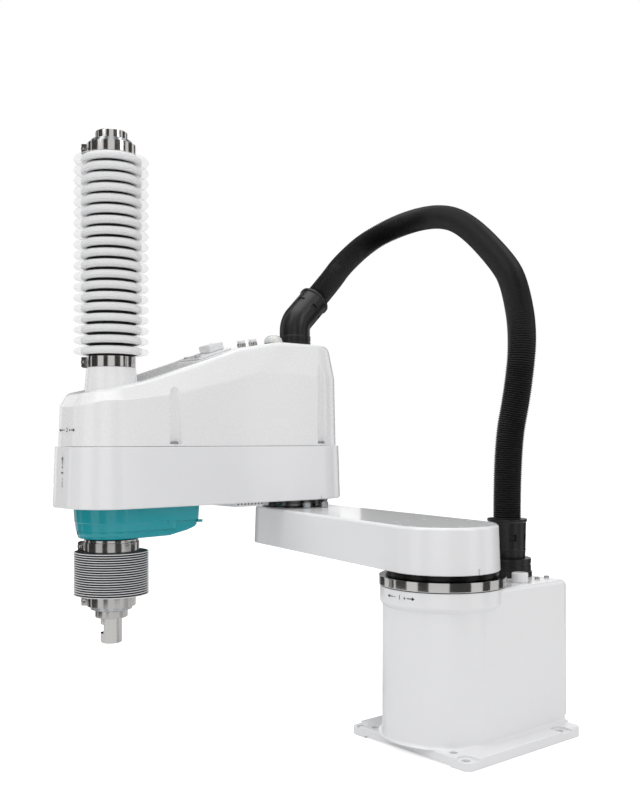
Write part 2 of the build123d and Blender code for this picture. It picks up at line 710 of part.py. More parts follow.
def j1_output_flange():
    """Turning flange of the first joint, running in the bearing ring."""
    rim = disc(OUTPUT_RADIUS, RING_TOP + OUTPUT_GAP, ARM_1_BOTTOM)
    hub = disc(RING_BORE - RUNNING_CLEARANCE, BASE_TOP + OUTPUT_GAP, RING_TOP + OUTPUT_GAP)
    return on_arm_1(rim + hub)


def j2_bearing():
    """Bearing housing let into the first arm's tip."""
    low = ARM_1_BOTTOM + BEARING_2_FLOOR
    return on_arm_1(ring(BEARING_2_RADIUS, BEARING_2_BORE, low, ARM_1_TOP - REDUCER_2_GAP, ARM_1_LENGTH))


def j2_stop_pins():
    """Two stop pins on the first arm that limit the second joint."""
    x = ARM_1_LENGTH - STOP_DISTANCE
    pins = []
    for y in (-STOP_OFFSET, STOP_OFFSET):
        pin = disc(STOP_RADIUS, ARM_1_TOP, ARM_1_TOP + STOP_HEIGHT, x, y)
        pins.append(chamfer(pin.edges().group_by(Axis.Z)[-1], 0.8))
    return on_arm_1(Compound(children=pins))


def arm_2_circles(inset):
    """Circles whose hull is the second arm's plan, seen from the second joint."""
    half = ARM_2_HALF_WIDTH - inset
    corner = ARM_2_NOSE_CORNER - inset
    x = ARM_2_LENGTH + ARM_2_NOSE - inset - corner
    y = half - corner
    return ((0, 0, half), (x, y, corner), (x, -y, corner))


def arm_2_casting():
    """Open tray that carries the motors, the spindle and the cover."""
    outer = extrude(hull_of(arm_2_circles(0), ARM_2_BOTTOM), BAND_HEIGHT, taper=BAND_DRAFT)
    inset = ARM_2_HALF_WIDTH - COVER_HALF_WIDTH + BAND_WALL - COVER_STEP
    outer -= extrude(hull_of(arm_2_circles(inset), BAND_FLOOR_TOP), BAND_HEIGHT)
    outer -= disc(SPLINE_BEARING_RADIUS + SEAT_CLEARANCE, ARM_2_BOTTOM - CUT, BAND_FLOOR_TOP + CUT, ARM_2_LENGTH)
    outer += block(LUG_INNER, LUG_OUTER, -LUG_WIDTH / 2, LUG_WIDTH / 2, ARM_2_BOTTOM - LUG_HEIGHT, ARM_2_BOTTOM + CUT)
    return on_arm_2(outer)


def j2_reducer():
    """Reducer of the second joint, between the two arms, with its turning spigot."""
    body = disc(REDUCER_2_RADIUS, ARM_1_TOP + REDUCER_2_GAP, ARM_2_BOTTOM)
    low = ARM_1_TOP - REDUCER_2_SPIGOT
    spigot = disc(BEARING_2_BORE - RUNNING_CLEARANCE, low, ARM_1_TOP + REDUCER_2_GAP + CUT)
    return on_arm_2(body + spigot)


def j2_motor():
    """Motor of the second joint, standing on the tray's floor."""
    body = motor(0, 0, MOTOR_2_RADIUS, MOTOR_2_FLANGE, 0, MOTOR_2_LENGTH)
    return on_arm_2(Pos(0, 0, BAND_FLOOR_TOP) * Rot(180, 0, 0) * body)


def underside_vent_box():
    """Shallow vented box under the second arm."""
    half = VENT_WIDTH / 2
    end = VENT_START + VENT_LENGTH
    low = ARM_2_BOTTOM - VENT_DEPTH
    box = block(VENT_START, end, -half, half, low, ARM_2_BOTTOM)
    box = fillet(box.edges().filter_by(Axis.Z), 4.0)
    inner = half - VENT_WALL
    box -= block(VENT_START + VENT_WALL, end - VENT_WALL, -inner, inner, low + VENT_WALL, ARM_2_BOTTOM + CUT)
    for index in range(VENT_SLOT_COUNT):
        x = VENT_START + VENT_SLOT_START + index * VENT_SLOT_PITCH
        bottom = low + VENT_WALL
        box -= block(x, x + VENT_SLOT_WIDTH, -half - CUT, half + CUT, bottom, bottom + VENT_SLOT_HEIGHT - CUT)
    return on_arm_2(box)


def groove_places():
    """Screw grooves of the cover as (x, side, height of the top)."""
    places = ((GROOVE_FRONT_X, GROOVE_FRONT_TOP), (GROOVE_REAR_X, GROOVE_REAR_TOP))
    return [(x, side, top) for x, top in places for side in (-1, 1)]


def groove(x, side, top, grow):
    """Upright round groove with a domed end, grown by the given amount."""
    y = side * (COVER_HALF_WIDTH + GROOVE_OUTSET)
    low = BAND_TOP + GROOVE_FLOOR - grow
    high = BAND_TOP + top
    radius = GROOVE_RADIUS + grow
    return disc(radius, low, high, x, y) + Pos(x, y, high) * Sphere(radius)


def cover_body(inset):
    """Outer form of the second arm's cover, moved inward by the given inset."""
    low = BAND_TOP
    half = COVER_HALF_WIDTH
    plan = hull_of(arm_2_circles(ARM_2_HALF_WIDTH - half + inset), low)
    walls = extrude(plan, COVER_HEIGHT + CUT, taper=COVER_DRAFT)
    top = COVER_TOP - inset
    nose = COVER_NOSE_TOP - inset
    tail = inset - half - CUT
    front = ARM_2_LENGTH + ARM_2_NOSE + CUT
    slope = (COVER_SLOPE_DROP - COVER_BREAK_DROP) / (COVER_SLOPE_END - COVER_RISE_BREAK)
    meet = COVER_SLOPE_END + (top - COVER_SLOPE_DROP - nose) / slope
    side = Polyline((tail, low - CUT), (front, low - CUT), (front, nose), (meet, nose),
                    (COVER_RISE_BREAK, top - COVER_BREAK_DROP), (COVER_RISE_START, top),
                    (tail + COVER_TAIL, top), (tail, top - COVER_TAIL), close=True)
    hood = extrude(Plane.XZ * make_face(side), half + COVER_TAIL, both=True)
    stations = ((tail - CUT, top, COVER_BEVEL_DROP), (COVER_RISE_START, top, COVER_BEVEL_DROP),
                (COVER_RISE_BREAK, top - COVER_BREAK_DROP, COVER_BREAK_BEVEL), (meet, nose, COVER_NOSE_BEVEL))
    sections = [bevel_section(x, level, drop, inset) for x, level, drop in stations]
    roof = walls & hood & loft(sections, ruled=True)
    deck = extrude(plan, nose - low, taper=COVER_DRAFT)
    deck = fillet(deck.faces().sort_by(Axis.Z)[-1].edges(), COVER_NOSE_EDGE - inset)
    return roof + deck


def bevel_section(x, level, drop, inset):
    """Section across the cover whose sides lean in from the wall to the narrow top."""
    half = COVER_HALF_WIDTH - inset
    top_half = COVER_TOP_HALF - inset
    lean = drop / (half - top_half)
    side = half + CUT
    crease = level - drop - CUT * lean
    peak = top_half - CUT
    points = ((-side, BAND_TOP - 2 * CUT), (side, BAND_TOP - 2 * CUT), (side, crease),
              (peak, level + CUT * lean), (-peak, level + CUT * lean), (-side, crease))
    corners = [(x, y, z) for y, z in points]
    return make_face(Polyline(*corners, close=True))


def arm_2_cover():
    """Thin cover with screw grooves and openings for the spindle cone and the hose elbow."""
    shell = cover_body(0.0)
    inner = cover_body(COVER_WALL)
    for x, side, top in groove_places():
        shell -= groove(x, side, top, 0.0)
        inner -= groove(x, side, top, COVER_WALL)
    shell -= inner
    shell -= disc(CONE_BASE_RADIUS + SEAT_CLEARANCE, BAND_TOP + COVER_WALL, COVER_TOP + CUT, ARM_2_LENGTH)
    shell -= disc(FITTING_BORE, COVER_TOP - 2 * COVER_WALL, COVER_TOP + CUT)
    return on_arm_2(shell)


def cover_screws():
    """Screws at the foot of the cover's grooves."""
    y = COVER_HALF_WIDTH + GROOVE_OUTSET - GROOVE_RADIUS + M4_HEAD_RADIUS
    points = [(x, side * y) for x, side, _ in groove_places()]
    return on_arm_2(cap_screws(points, BAND_TOP + GROOVE_FLOOR))


def spindle_cone():
    """Cone around the shaft on top of the cover, with a neck for the bellows cuff."""
    low = COVER_NOSE_TOP - COVER_WALL
    height = CONE_TOP - low
    cone = Pos(0, 0, low) * Cone(CONE_BASE_RADIUS, CONE_TOP_RADIUS, height, align=ON_FLOOR)
    flange = disc(CONE_FLANGE_RADIUS, low - CONE_FLANGE, low)
    neck = disc(NECK_RADIUS, CONE_TOP - CUT, UPPER_BELLOWS_BOTTOM - SOFT_CLEARANCE)
    bore = disc(CONE_BORE, low - CONE_FLANGE - CUT, UPPER_BELLOWS_BOTTOM + CUT)
    return on_arm_2(Pos(ARM_2_LENGTH, 0, 0) * (cone + flange + neck - bore))


def bellows(bottom, top, cuffs):
    """Pleated tube between two levels with a plain cuff at each end."""
    pitch = (top - bottom) / BELLOWS_PLEATS
    root = min(BELLOWS_ROOT, max(radius for radius, _ in cuffs) + CUFF_THICKNESS)
    outer = [(root, bottom)]
    for index in range(BELLOWS_PLEATS):
        outer.append((BELLOWS_RADIUS, bottom + (index + 0.5) * pitch))
        outer.append((root, bottom + (index + 1) * pitch))
    slant = math.hypot(pitch / 2, BELLOWS_RADIUS - root)
    shift = BELLOWS_WALL * slant / (pitch / 2)
    inner_tip = BELLOWS_RADIUS - shift
    inner = [(root - BELLOWS_WALL, bottom)]
    for index in range(BELLOWS_PLEATS):
        if inner_tip > root:
            inner.append((inner_tip, bottom + (index + 0.5) * pitch))
        inner.append((root - BELLOWS_WALL, bottom + (index + 1) * pitch))
    outline = Polyline(*[(x, 0, z) for x, z in outer + inner[::-1]], close=True)
    body = revolve(make_face(outline), Axis.Z)
    for (radius, length), level, sign in zip(cuffs, (bottom, top), (-1, 1)):
        low, high = sorted((level, level + sign * length))
        inside = radius + SOFT_CLEARANCE
        body += ring(inside + CUFF_THICKNESS, inside, low, high)
        inner_rim = min(inside, root - BELLOWS_WALL)
        outer_rim = max(inside + CUFF_THICKNESS, root)
        web_low, web_high = sorted((level, level - sign * BELLOWS_WALL))
        body += ring(outer_rim, inner_rim, web_low, web_high)
    return body


def at_spindle(shape):
    """Places a shape drawn on the spindle's own axis."""
    return on_arm_2(Pos(ARM_2_LENGTH, 0, 0) * shape)


def upper_bellows():
    """Long bellows between the cover's cone and the shaft's top."""
    cuff = CLAMP_HEIGHT - SOFT_CLEARANCE
    cuffs = ((NECK_RADIUS, cuff), (NECK_RADIUS, cuff))
    return at_spindle(bellows(UPPER_BELLOWS_BOTTOM, UPPER_BELLOWS_TOP, cuffs))


def lower_bellows():
    """Short bellows between the shaft's lower end and the housing."""
    cuffs = ((NECK_RADIUS, CLAMP_HEIGHT - SOFT_CLEARANCE), (HOUSING_NECK_RADIUS, NECK_CLAMP_HEIGHT - SOFT_CLEARANCE))
    return at_spindle(bellows(LOWER_BELLOWS_BOTTOM, LOWER_BELLOWS_TOP, cuffs))


def band_clamp(neck_radius, low, height=CLAMP_HEIGHT):
    """Screw clamp around a bellows cuff."""
    inner = neck_radius + CUFF_THICKNESS + 2 * SOFT_CLEARANCE
    outer = inner + CLAMP_THICKNESS
    high = low + height - SOFT_CLEARANCE
    half = CLAMP_BLOCK_WIDTH / 2
    lug = block(outer - CLAMP_THICKNESS / 2, outer + CLAMP_BLOCK_REACH, -half, half, low, high)
    slot = block(inner - CUT, outer + CLAMP_BLOCK_REACH + CUT, -0.8, 0.8, low - CUT, high + CUT)
    band = ring(outer, inner, low, high) + (lug - slot)
    middle = (low + high) / 2
    screw = Pos(outer + CLAMP_BLOCK_REACH / 2, 0, middle) * Rot(90, 0, 0)
    screw *= Cylinder(CLAMP_SCREW_RADIUS, CLAMP_BLOCK_WIDTH + 3.0)
    return at_spindle(Rot(0, 0, CLAMP_ANGLE) * (band + screw))


def upper_head():
    """Sleeve at the shaft's top that holds the bellows still while the shaft turns."""
    low = UPPER_BELLOWS_TOP
    return at_spindle(ring(NECK_RADIUS, SHAFT_RADIUS + RUNNING_CLEARANCE, low, low + UPPER_HEAD_LENGTH))


def lower_head():
    """Sleeve at the shaft's lower end that carries the lower bellows."""
    high = LOWER_BELLOWS_BOTTOM
    return at_spindle(ring(NECK_RADIUS, SHAFT_RADIUS + RUNNING_CLEARANCE, high - HEAD_LENGTH, high))


def z_shaft():
    """Hollow ball-screw spline shaft with a flat and a ring groove near its tool end."""
    body = disc(SHAFT_RADIUS, SHAFT_BOTTOM, SHAFT_TOP - 2.0)
    body = chamfer(body.edges(), COLLAR_CHAMFER)
    body -= disc(SHAFT_HOLE, SHAFT_BOTTOM - CUT, SHAFT_TOP)
    floor = SHAFT_RADIUS - SHAFT_GROOVE_DEPTH
    low = SHAFT_BOTTOM + SHAFT_FLAT_START
    body -= ring(SHAFT_RADIUS + CUT, floor, low - SHAFT_GROOVE_WIDTH, low)
    flat = block(SHAFT_RADIUS - SHAFT_FLAT_DEPTH, SHAFT_RADIUS + CUT, -SHAFT_RADIUS, SHAFT_RADIUS,
                 low, low + SHAFT_FLAT_LENGTH)
    return at_spindle(body - Rot(0, 0, SHAFT_FLAT_ANGLE) * flat)


def shaft_top_collar():
    """Cap collar on the upper end of the shaft."""
    cap = disc(TOP_COLLAR_RADIUS, SHAFT_TOP - TOP_COLLAR_HEIGHT, SHAFT_TOP)
    cap = chamfer(cap.edges(), COLLAR_CHAMFER)
    cap -= disc(SHAFT_RADIUS + RUNNING_CLEARANCE, SHAFT_TOP - TOP_COLLAR_HEIGHT - CUT, SHAFT_TOP - 2.0)
    return at_spindle(cap)


def shaft_lower_collar():
    """Split clamping collar near the tool end."""
    low = LOW_COLLAR_BOTTOM
    high = low + LOW_COLLAR_HEIGHT
    body = chamfer(disc(LOW_COLLAR_RADIUS, low, high).edges(), COLLAR_CHAMFER)
    body -= disc(SHAFT_RADIUS + RUNNING_CLEARANCE, low - CUT, high + CUT)
    slit = block(0, LOW_COLLAR_RADIUS + CUT, -COLLAR_SLIT / 2, COLLAR_SLIT / 2, low - CUT, high + CUT)
    return at_spindle(body - Rot(0, 0, CLAMP_ANGLE) * slit)


def spindle_housing():
    """Housing under the nose: slab, boss with a sloped web, and a neck for the cuff."""
    slab_low = ARM_2_BOTTOM - HOUSING_SLAB
    radius = HOUSING_SLAB_RADIUS
    slab = disc(radius, slab_low, ARM_2_BOTTOM)
    slab += block(-HOUSING_SLAB_TAIL, 0, -radius, radius, slab_low, ARM_2_BOTTOM)
    boss = disc(HOUSING_BOSS_RADIUS, HOUSING_BOTTOM, slab_low + CUT)
    boss = chamfer(boss.edges().group_by(Axis.Z)[0], HOUSING_BOSS_CHAMFER)
    middle = HOUSING_BOTTOM + HOUSING_BOSS / 2
    profile = Polyline((0, HOUSING_BOTTOM), (0, slab_low + CUT), (-HOUSING_SLAB_TAIL, slab_low + CUT),
                       (-HOUSING_SLAB_TAIL, slab_low), (-HOUSING_SLAB_TAIL + 12.0, middle),
                       (-HOUSING_WEB_TAIL, HOUSING_BOTTOM), close=True)
    web = extrude(Plane.XZ * make_face(profile), HOUSING_WEB_HALF, both=True)
    neck = disc(HOUSING_NECK_RADIUS, NECK_BOTTOM, HOUSING_BOTTOM + CUT)
    body = slab + boss + web + neck
    body -= disc(SPLINE_BEARING_RADIUS + SEAT_CLEARANCE, NECK_BOTTOM + HOUSING_NECK, ARM_2_BOTTOM + CUT)
    body -= disc(SPLINE_NUT_RADIUS + CUT, NECK_BOTTOM - CUT, ARM_2_BOTTOM)
    return at_spindle(body)


def housing_screws():
    """Screws under the housing's slab."""
    slab_low = ARM_2_BOTTOM - HOUSING_SLAB
    y = (HOUSING_SLAB_RADIUS + HOUSING_WEB_HALF) / 2
    points = [(-x, side * y) for x in (HOUSING_SLAB_TAIL - 8.0, HOUSING_WEB_TAIL) for side in (-1, 1)]
    return at_spindle(cap_screws(points, slab_low, M4_HEAD_RADIUS, M4_HEAD_HEIGHT, down=True))


def housing_neck_ring():
    """Bright spacer ring between the housing and the clamp."""
    inner = HOUSING_NECK_RADIUS + SEAT_CLEARANCE
    return at_spindle(ring(NECK_RING_RADIUS, inner, LOWER_CLAMP_TOP, NECK_RING_TOP))


def nut_bearings():
    """Bearings of the spline nut in the housing and of the ball-screw nut on the bracket."""
    low = HOUSING_BOTTOM
    spline = ring(SPLINE_BEARING_RADIUS, SPLINE_NUT_RADIUS + RUNNING_CLEARANCE, low, low + SPLINE_BEARING_LENGTH)
    low = BRACKET_TOP
    screw = ring(SCREW_BEARING_RADIUS, SCREW_NUT_RADIUS + RUNNING_CLEARANCE, low, low + SCREW_BEARING_LENGTH)
    return at_spindle(Compound(children=[spline, screw]))


def spline_nut():
    """Spline nut that turns the shaft."""
    bore = SHAFT_RADIUS + RUNNING_CLEARANCE
    return at_spindle(ring(SPLINE_NUT_RADIUS, bore, HOUSING_BOTTOM, SPLINE_PULLEY_BOTTOM + PULLEY_WIDTH))


def pulley(radius, bore, bottom):
    """Toothed pulley with two rims."""
    body = disc(radius, bottom, bottom + PULLEY_WIDTH)
    low = disc(radius + 2.0, bottom, bottom + PULLEY_RIM)
    high = disc(radius + 2.0, bottom + PULLEY_WIDTH - PULLEY_RIM, bottom + PULLEY_WIDTH)
    return body + low + high - disc(bore, bottom - CUT, bottom + PULLEY_WIDTH + CUT)


def j4_nut_pulley():
    """Pulley on the spline nut."""
    bore = SPLINE_NUT_RADIUS + RUNNING_CLEARANCE
    return at_spindle(pulley(NUT_PULLEY_RADIUS, bore, SPLINE_PULLEY_BOTTOM))


def drive_bracket():
    """Raised plate that carries the screw nut and the hanging motor."""
    low = BRACKET_BOTTOM
    half = BRACKET_HALF_WIDTH
    plate = block(ARM_2_LENGTH - BRACKET_TAIL, ARM_2_LENGTH + BRACKET_NOSE, -half, half, low, BRACKET_TOP)
    plate = fillet(plate.edges().filter_by(Axis.Z), 2 * BRACKET_THICKNESS)
    inset = BRACKET_POST_RADIUS + CUT
    columns = (ARM_2_LENGTH - BRACKET_TAIL + 2 * inset, ARM_2_LENGTH + BRACKET_NOSE - 2 * inset)
    for x in columns:
        for y in (inset - half, half - inset):
            plate += disc(BRACKET_POST_RADIUS, BAND_FLOOR_TOP, low + CUT, x, y)
    plate -= disc(SHAFT_RADIUS + 2 * CUT, low - CUT, BRACKET_TOP + CUT, ARM_2_LENGTH)
    plate -= disc(SMALL_MOTOR_RADIUS + 2 * CUT, low - CUT, BRACKET_TOP + CUT, MOTOR_3_X, MOTOR_3_Y)
    plate -= disc(SMALL_SHAFT_RADIUS + CUT, low - CUT, BRACKET_TOP + CUT, MOTOR_4_X, MOTOR_4_Y)
    return on_arm_2(plate)


def screw_nut():
    """Ball-screw nut that lifts the shaft."""
    low = BRACKET_TOP + SOFT_CLEARANCE
    return at_spindle(ring(SCREW_NUT_RADIUS, SHAFT_RADIUS + RUNNING_CLEARANCE, low, low + SCREW_NUT_LENGTH))


def j3_nut_pulley():
    """Pulley on the ball-screw nut."""
    bore = SCREW_NUT_RADIUS + RUNNING_CLEARANCE
    return at_spindle(pulley(NUT_PULLEY_RADIUS, bore, SCREW_PULLEY_BOTTOM))


def small_motor(x, y, bottom):
    """Small servo motor body."""
    body = disc(SMALL_MOTOR_RADIUS, bottom, bottom + SMALL_MOTOR_LENGTH, x, y)
    return chamfer(body.edges(), COLLAR_CHAMFER)


def j3_motor():
    """Lift motor, standing on the tray's floor below its pulley."""
    top = SCREW_PULLEY_BOTTOM - SOFT_CLEARANCE
    body = disc(SMALL_MOTOR_RADIUS, BAND_FLOOR_TOP, top, MOTOR_3_X, MOTOR_3_Y)
    return on_arm_2(chamfer(body.edges(), COLLAR_CHAMFER))


def j4_motor():
    """Turning motor, standing on the bracket above its pulley."""
    return on_arm_2(small_motor(MOTOR_4_X, MOTOR_4_Y, BRACKET_TOP))


def j3_motor_pulley():
    """Small pulley above the lift motor."""
    body = disc(SMALL_PULLEY_RADIUS, 0, PULLEY_WIDTH)
    return on_arm_2(Pos(MOTOR_3_X, MOTOR_3_Y, SCREW_PULLEY_BOTTOM) * body)


def j4_motor_pulley():
    """Small pulley under the turning motor, on its long shaft."""
    body = disc(SMALL_PULLEY_RADIUS, SPLINE_PULLEY_BOTTOM, SPLINE_PULLEY_BOTTOM + PULLEY_WIDTH)
    top = BRACKET_TOP - SOFT_CLEARANCE
    body += disc(SMALL_SHAFT_RADIUS, SPLINE_PULLEY_BOTTOM + PULLEY_WIDTH - CUT, top)
    return on_arm_2(Pos(MOTOR_4_X, MOTOR_4_Y, 0) * body)


def belt(motor_x, motor_y, pulley_bottom):
    """Toothed belt wrapped around two pulleys with a small running gap."""
    low = pulley_bottom + (PULLEY_WIDTH - BELT_WIDTH) / 2
    loops = []
    for grow in (SOFT_CLEARANCE + BELT_THICKNESS, SOFT_CLEARANCE):
        circles = ((ARM_2_LENGTH, 0, NUT_PULLEY_RADIUS + grow), (motor_x, motor_y, SMALL_PULLEY_RADIUS + grow))
        loops.append(hull_of(circles, low))
    return on_arm_2(extrude(loops[0] - loops[1], BELT_WIDTH))


def hose_elbow_collar():
    """Round foot of the elbow fitting on the cover."""
    return on_arm_2(ring(ELBOW_COLLAR_RADIUS, FITTING_BORE, COVER_TOP, COVER_TOP + ELBOW_COLLAR))


def hose_elbow():
    """Elbow fitting that leads the hose off to the rear at 45 degrees."""
    low = COVER_TOP + ELBOW_COLLAR
    bend = low + ELBOW_NECK
    neck = disc(ELBOW_RADIUS, low, bend)
    lead = Pos(0, 0, bend) * Rot(0, -45, 0)
    joint = Pos(0, 0, bend) * Sphere(ELBOW_RADIUS) & disc(2 * ELBOW_RADIUS, low, bend + ELBOW_REACH)
    sleeve = windowed_tube(ELBOW_RADIUS - FITTING_TAPER, ELBOW_RADIUS, SHAFT_HOLE, ELBOW_REACH - ELBOW_RIM, 0.0)
    rim = disc(ELBOW_RIM_RADIUS, ELBOW_REACH - ELBOW_RIM, ELBOW_REACH)
    body = neck + joint + lead * (sleeve + rim)
    body -= disc(FITTING_BORE, low - CUT, bend)
    body -= lead * disc(FITTING_BORE, 0, ELBOW_REACH + CUT)
    body -= Pos(0, 0, bend) * Sphere(FITTING_BORE)
    return on_arm_2(body)


def indicator_lamp():
    """Domed lamp on the cover's top."""
    foot = disc(LAMP_RADIUS, 0, LAMP_FOOT)
    cap = LAMP_HEIGHT - LAMP_FOOT
    radius = (LAMP_RADIUS ** 2 + cap ** 2) / (2 * cap)
    dome = Pos(0, 0, LAMP_HEIGHT - radius) * Sphere(radius)
    dome &= disc(LAMP_RADIUS, LAMP_FOOT, LAMP_HEIGHT + CUT)
    return on_arm_2(Pos(LAMP_X, LAMP_Y, COVER_TOP) * (foot + dome))


def slope_frame(x):
    """Frame on the cover's long slope, with X down the slope, at a distance from the second joint."""
    run = COVER_SLOPE_END - COVER_RISE_BREAK
    drop = COVER_SLOPE_DROP - COVER_BREAK_DROP
    height = COVER_TOP - COVER_BREAK_DROP - (x - COVER_RISE_BREAK) * drop / run
    return Pos(x, 0, height) * Rot(0, math.degrees(math.atan2(drop, run)), 0)


def ramp_frame(x):
    """Frame on the cover's short upper ramp, at a distance from the second joint."""
    run = COVER_RISE_BREAK - COVER_RISE_START
    height = COVER_TOP - (x - COVER_RISE_START) * COVER_BREAK_DROP / run
    return Pos(x, 0, height) * Rot(0, math.degrees(math.atan2(COVER_BREAK_DROP, run)), 0)


def cover_air_ports():
    """Two air fittings on the cover's upper ramp."""
    pieces = []
    for y in TOP_PORT_Y:
        body = disc(TOP_PORT_RADIUS, 0, TOP_PORT_HEIGHT * 0.55)
        body += disc(TOP_PORT_RADIUS - 1.0, 0, TOP_PORT_HEIGHT)
        body -= disc(TOP_PORT_RADIUS - 2.6, TOP_PORT_HEIGHT / 3, TOP_PORT_HEIGHT + CUT)
        pieces.append(ramp_frame(TOP_PORT_X) * Pos(0, y, 0) * body)
    return on_arm_2(Compound(children=pieces))


def user_socket_plate():
    """Thin plate on the slope that carries the user connector."""
    half = SOCKET_PLATE_WIDTH / 2
    start = COVER_RISE_BREAK + CUT - SOCKET_START
    plate = block(start, start + SOCKET_PLATE_LENGTH, SOCKET_SIDE - half, SOCKET_SIDE + half, 0,
                  SOCKET_PLATE_THICKNESS)
    plate = fillet(plate.edges().filter_by(Axis.Z), 3.0)
    return on_arm_2(slope_frame(SOCKET_START) * plate)


def user_socket():
    """User connector on its plate."""
    low = SOCKET_PLATE_THICKNESS
    start = COVER_RISE_BREAK + 2 * CUT - SOCKET_START
    half = SOCKET_WIDTH / 2
    body = block(start, start + SOCKET_LENGTH, SOCKET_SIDE - half, SOCKET_SIDE + half, low, low + SOCKET_HEIGHT)
    body = chamfer(body.edges().group_by(Axis.Z)[-1], COLLAR_CHAMFER)
    return on_arm_2(slope_frame(SOCKET_START) * body)


def user_socket_screws():
    """Two screws that hold the user connector's plate."""
    start = COVER_RISE_BREAK + CUT - SOCKET_START
    x = start + SOCKET_PLATE_LENGTH - 2 * M3_HEAD_RADIUS
    points = [(x, SOCKET_SIDE + side * SOCKET_PLATE_WIDTH / 4) for side in (-1, 1)]
    heads = cap_screws(points, SOCKET_PLATE_THICKNESS, M3_HEAD_RADIUS, M3_HEAD_HEIGHT)
    return on_arm_2(slope_frame(SOCKET_START) * heads)


BUILDERS = {
    "base_casting": base_casting,
    "base_rear_panel": base_rear_panel,
    "panel_screws": panel_screws,
    "power_connector": power_connector,
    "signal_connectors": signal_connectors,
    "base_air_ports": base_air_ports,
    "base_cap_post": base_cap_post,
    "base_deck_screws": base_deck_screws,
    "hose_base_nut": hose_base_nut,
    "hose_base_fitting": hose_base_fitting,
    "j1_bearing_ring": j1_bearing_ring,
    "j1_reducer": j1_reducer,
    "j1_motor": j1_motor,
    "j1_output_flange": j1_output_flange,
    "arm_1_casting": arm_1_casting,
    "arm_1_root_screws": arm_1_root_screws,
    "arm_1_bottom_cover": arm_1_bottom_cover,
    "arm_1_cover_screws": arm_1_cover_screws,
    "j2_bearing": j2_bearing,
    "j2_stop_pins": j2_stop_pins,
    "j2_reducer": j2_reducer,
    "j2_motor": j2_motor,
    "arm_2_casting": arm_2_casting,
    "arm_2_cover": arm_2_cover,
    "cover_screws": cover_screws,
    "underside_vent_box": underside_vent_box,
    "spindle_housing": spindle_housing,
    "housing_screws": housing_screws,
    "housing_neck_ring": housing_neck_ring,
    "spindle_cone": spindle_cone,
    "upper_bellows": upper_bellows,
    "lower_bellows": lower_bellows,
    "upper_clamp_fixed": lambda: band_clamp(NECK_RADIUS, CONE_TOP),
    "lower_clamp_fixed": lambda: band_clamp(HOUSING_NECK_RADIUS, LOWER_BELLOWS_TOP, NECK_CLAMP_HEIGHT),
    "upper_clamp_moving": lambda: band_clamp(NECK_RADIUS, UPPER_BELLOWS_TOP + SOFT_CLEARANCE),
    "lower_clamp_moving": lambda: band_clamp(NECK_RADIUS, LOWER_BELLOWS_BOTTOM - CLAMP_HEIGHT),
    "upper_head": upper_head,
    "lower_head": lower_head,
    "z_shaft": z_shaft,
    "shaft_top_collar": shaft_top_collar,
    "shaft_lower_collar": shaft_lower_collar,
    "nut_bearings": nut_bearings,
    "spline_nut": spline_nut,
    "j4_nut_pulley": j4_nut_pulley,
    "drive_bracket": drive_bracket,
    "screw_nut": screw_nut,
    "j3_nut_pulley": j3_nut_pulley,
    "j3_motor": j3_motor,
    "j3_motor_pulley": j3_motor_pulley,
    "j3_belt": lambda: belt(MOTOR_3_X, MOTOR_3_Y, SCREW_PULLEY_BOTTOM),
    "j4_motor": j4_motor,
    "j4_motor_pulley": j4_motor_pulley,
    "j4_belt": lambda: belt(MOTOR_4_X, MOTOR_4_Y, SPLINE_PULLEY_BOTTOM),
    "hose_elbow_collar": hose_elbow_collar,
    "hose_elbow": hose_elbow,
    "indicator_lamp": indicator_lamp,
    "cover_air_ports": cover_air_ports,
    "user_socket": lambda: Compound(children=[user_socket_plate(), user_socket(), user_socket_screws()]),
    "hose_lower": hose_lower,
    "hose_upper": hose_upper,
}

os.makedirs("parts", exist_ok=True)
for part_name, build in BUILDERS.items():
    save(part_name, build())
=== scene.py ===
"""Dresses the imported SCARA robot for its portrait: meshes, finishes, hose, studio and camera."""

from __future__ import annotations

import json
import logging
import math
from dataclasses import dataclass, field
from enum import Enum
from typing import Callable, Sequence

import bmesh
import bpy
from mathutils import Matrix, Vector

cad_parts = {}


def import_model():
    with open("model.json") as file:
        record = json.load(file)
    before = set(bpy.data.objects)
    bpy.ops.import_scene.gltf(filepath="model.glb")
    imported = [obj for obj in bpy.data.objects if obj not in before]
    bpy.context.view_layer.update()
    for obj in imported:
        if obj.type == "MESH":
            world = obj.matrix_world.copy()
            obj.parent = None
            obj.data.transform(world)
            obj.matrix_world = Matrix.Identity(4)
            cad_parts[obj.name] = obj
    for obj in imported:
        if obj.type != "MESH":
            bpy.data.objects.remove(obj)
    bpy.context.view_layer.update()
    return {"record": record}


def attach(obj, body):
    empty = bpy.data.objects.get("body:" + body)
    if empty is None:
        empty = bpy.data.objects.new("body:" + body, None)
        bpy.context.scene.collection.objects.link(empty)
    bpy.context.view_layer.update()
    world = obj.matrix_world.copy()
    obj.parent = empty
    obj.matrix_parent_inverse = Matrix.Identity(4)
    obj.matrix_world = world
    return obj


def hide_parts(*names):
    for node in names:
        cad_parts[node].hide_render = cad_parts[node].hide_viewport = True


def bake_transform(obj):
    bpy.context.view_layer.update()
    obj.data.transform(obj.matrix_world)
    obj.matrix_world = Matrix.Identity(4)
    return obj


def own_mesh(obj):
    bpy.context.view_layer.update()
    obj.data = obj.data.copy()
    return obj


LOG = logging.getLogger("scara")
MM = 0.001
WHITE = "#FFFFFF"
# How far a cutter reaches past what it cuts, in millimetres
PAST = 1.0
# Points closer than this are merged, in millimetres
MERGE_DISTANCE = 0.0005
# Largest share of a side that the rounding of its end may take
LONGEST_CUT = 0.45
# Lowest roughness that a finish's pattern may reach
SMOOTHEST = 0.02
# Roughness of every clear coat
COAT_ROUGHNESS = 0.08
# Height of a finish's relief as a share of its grain
RELIEF_SHARE = 0.05
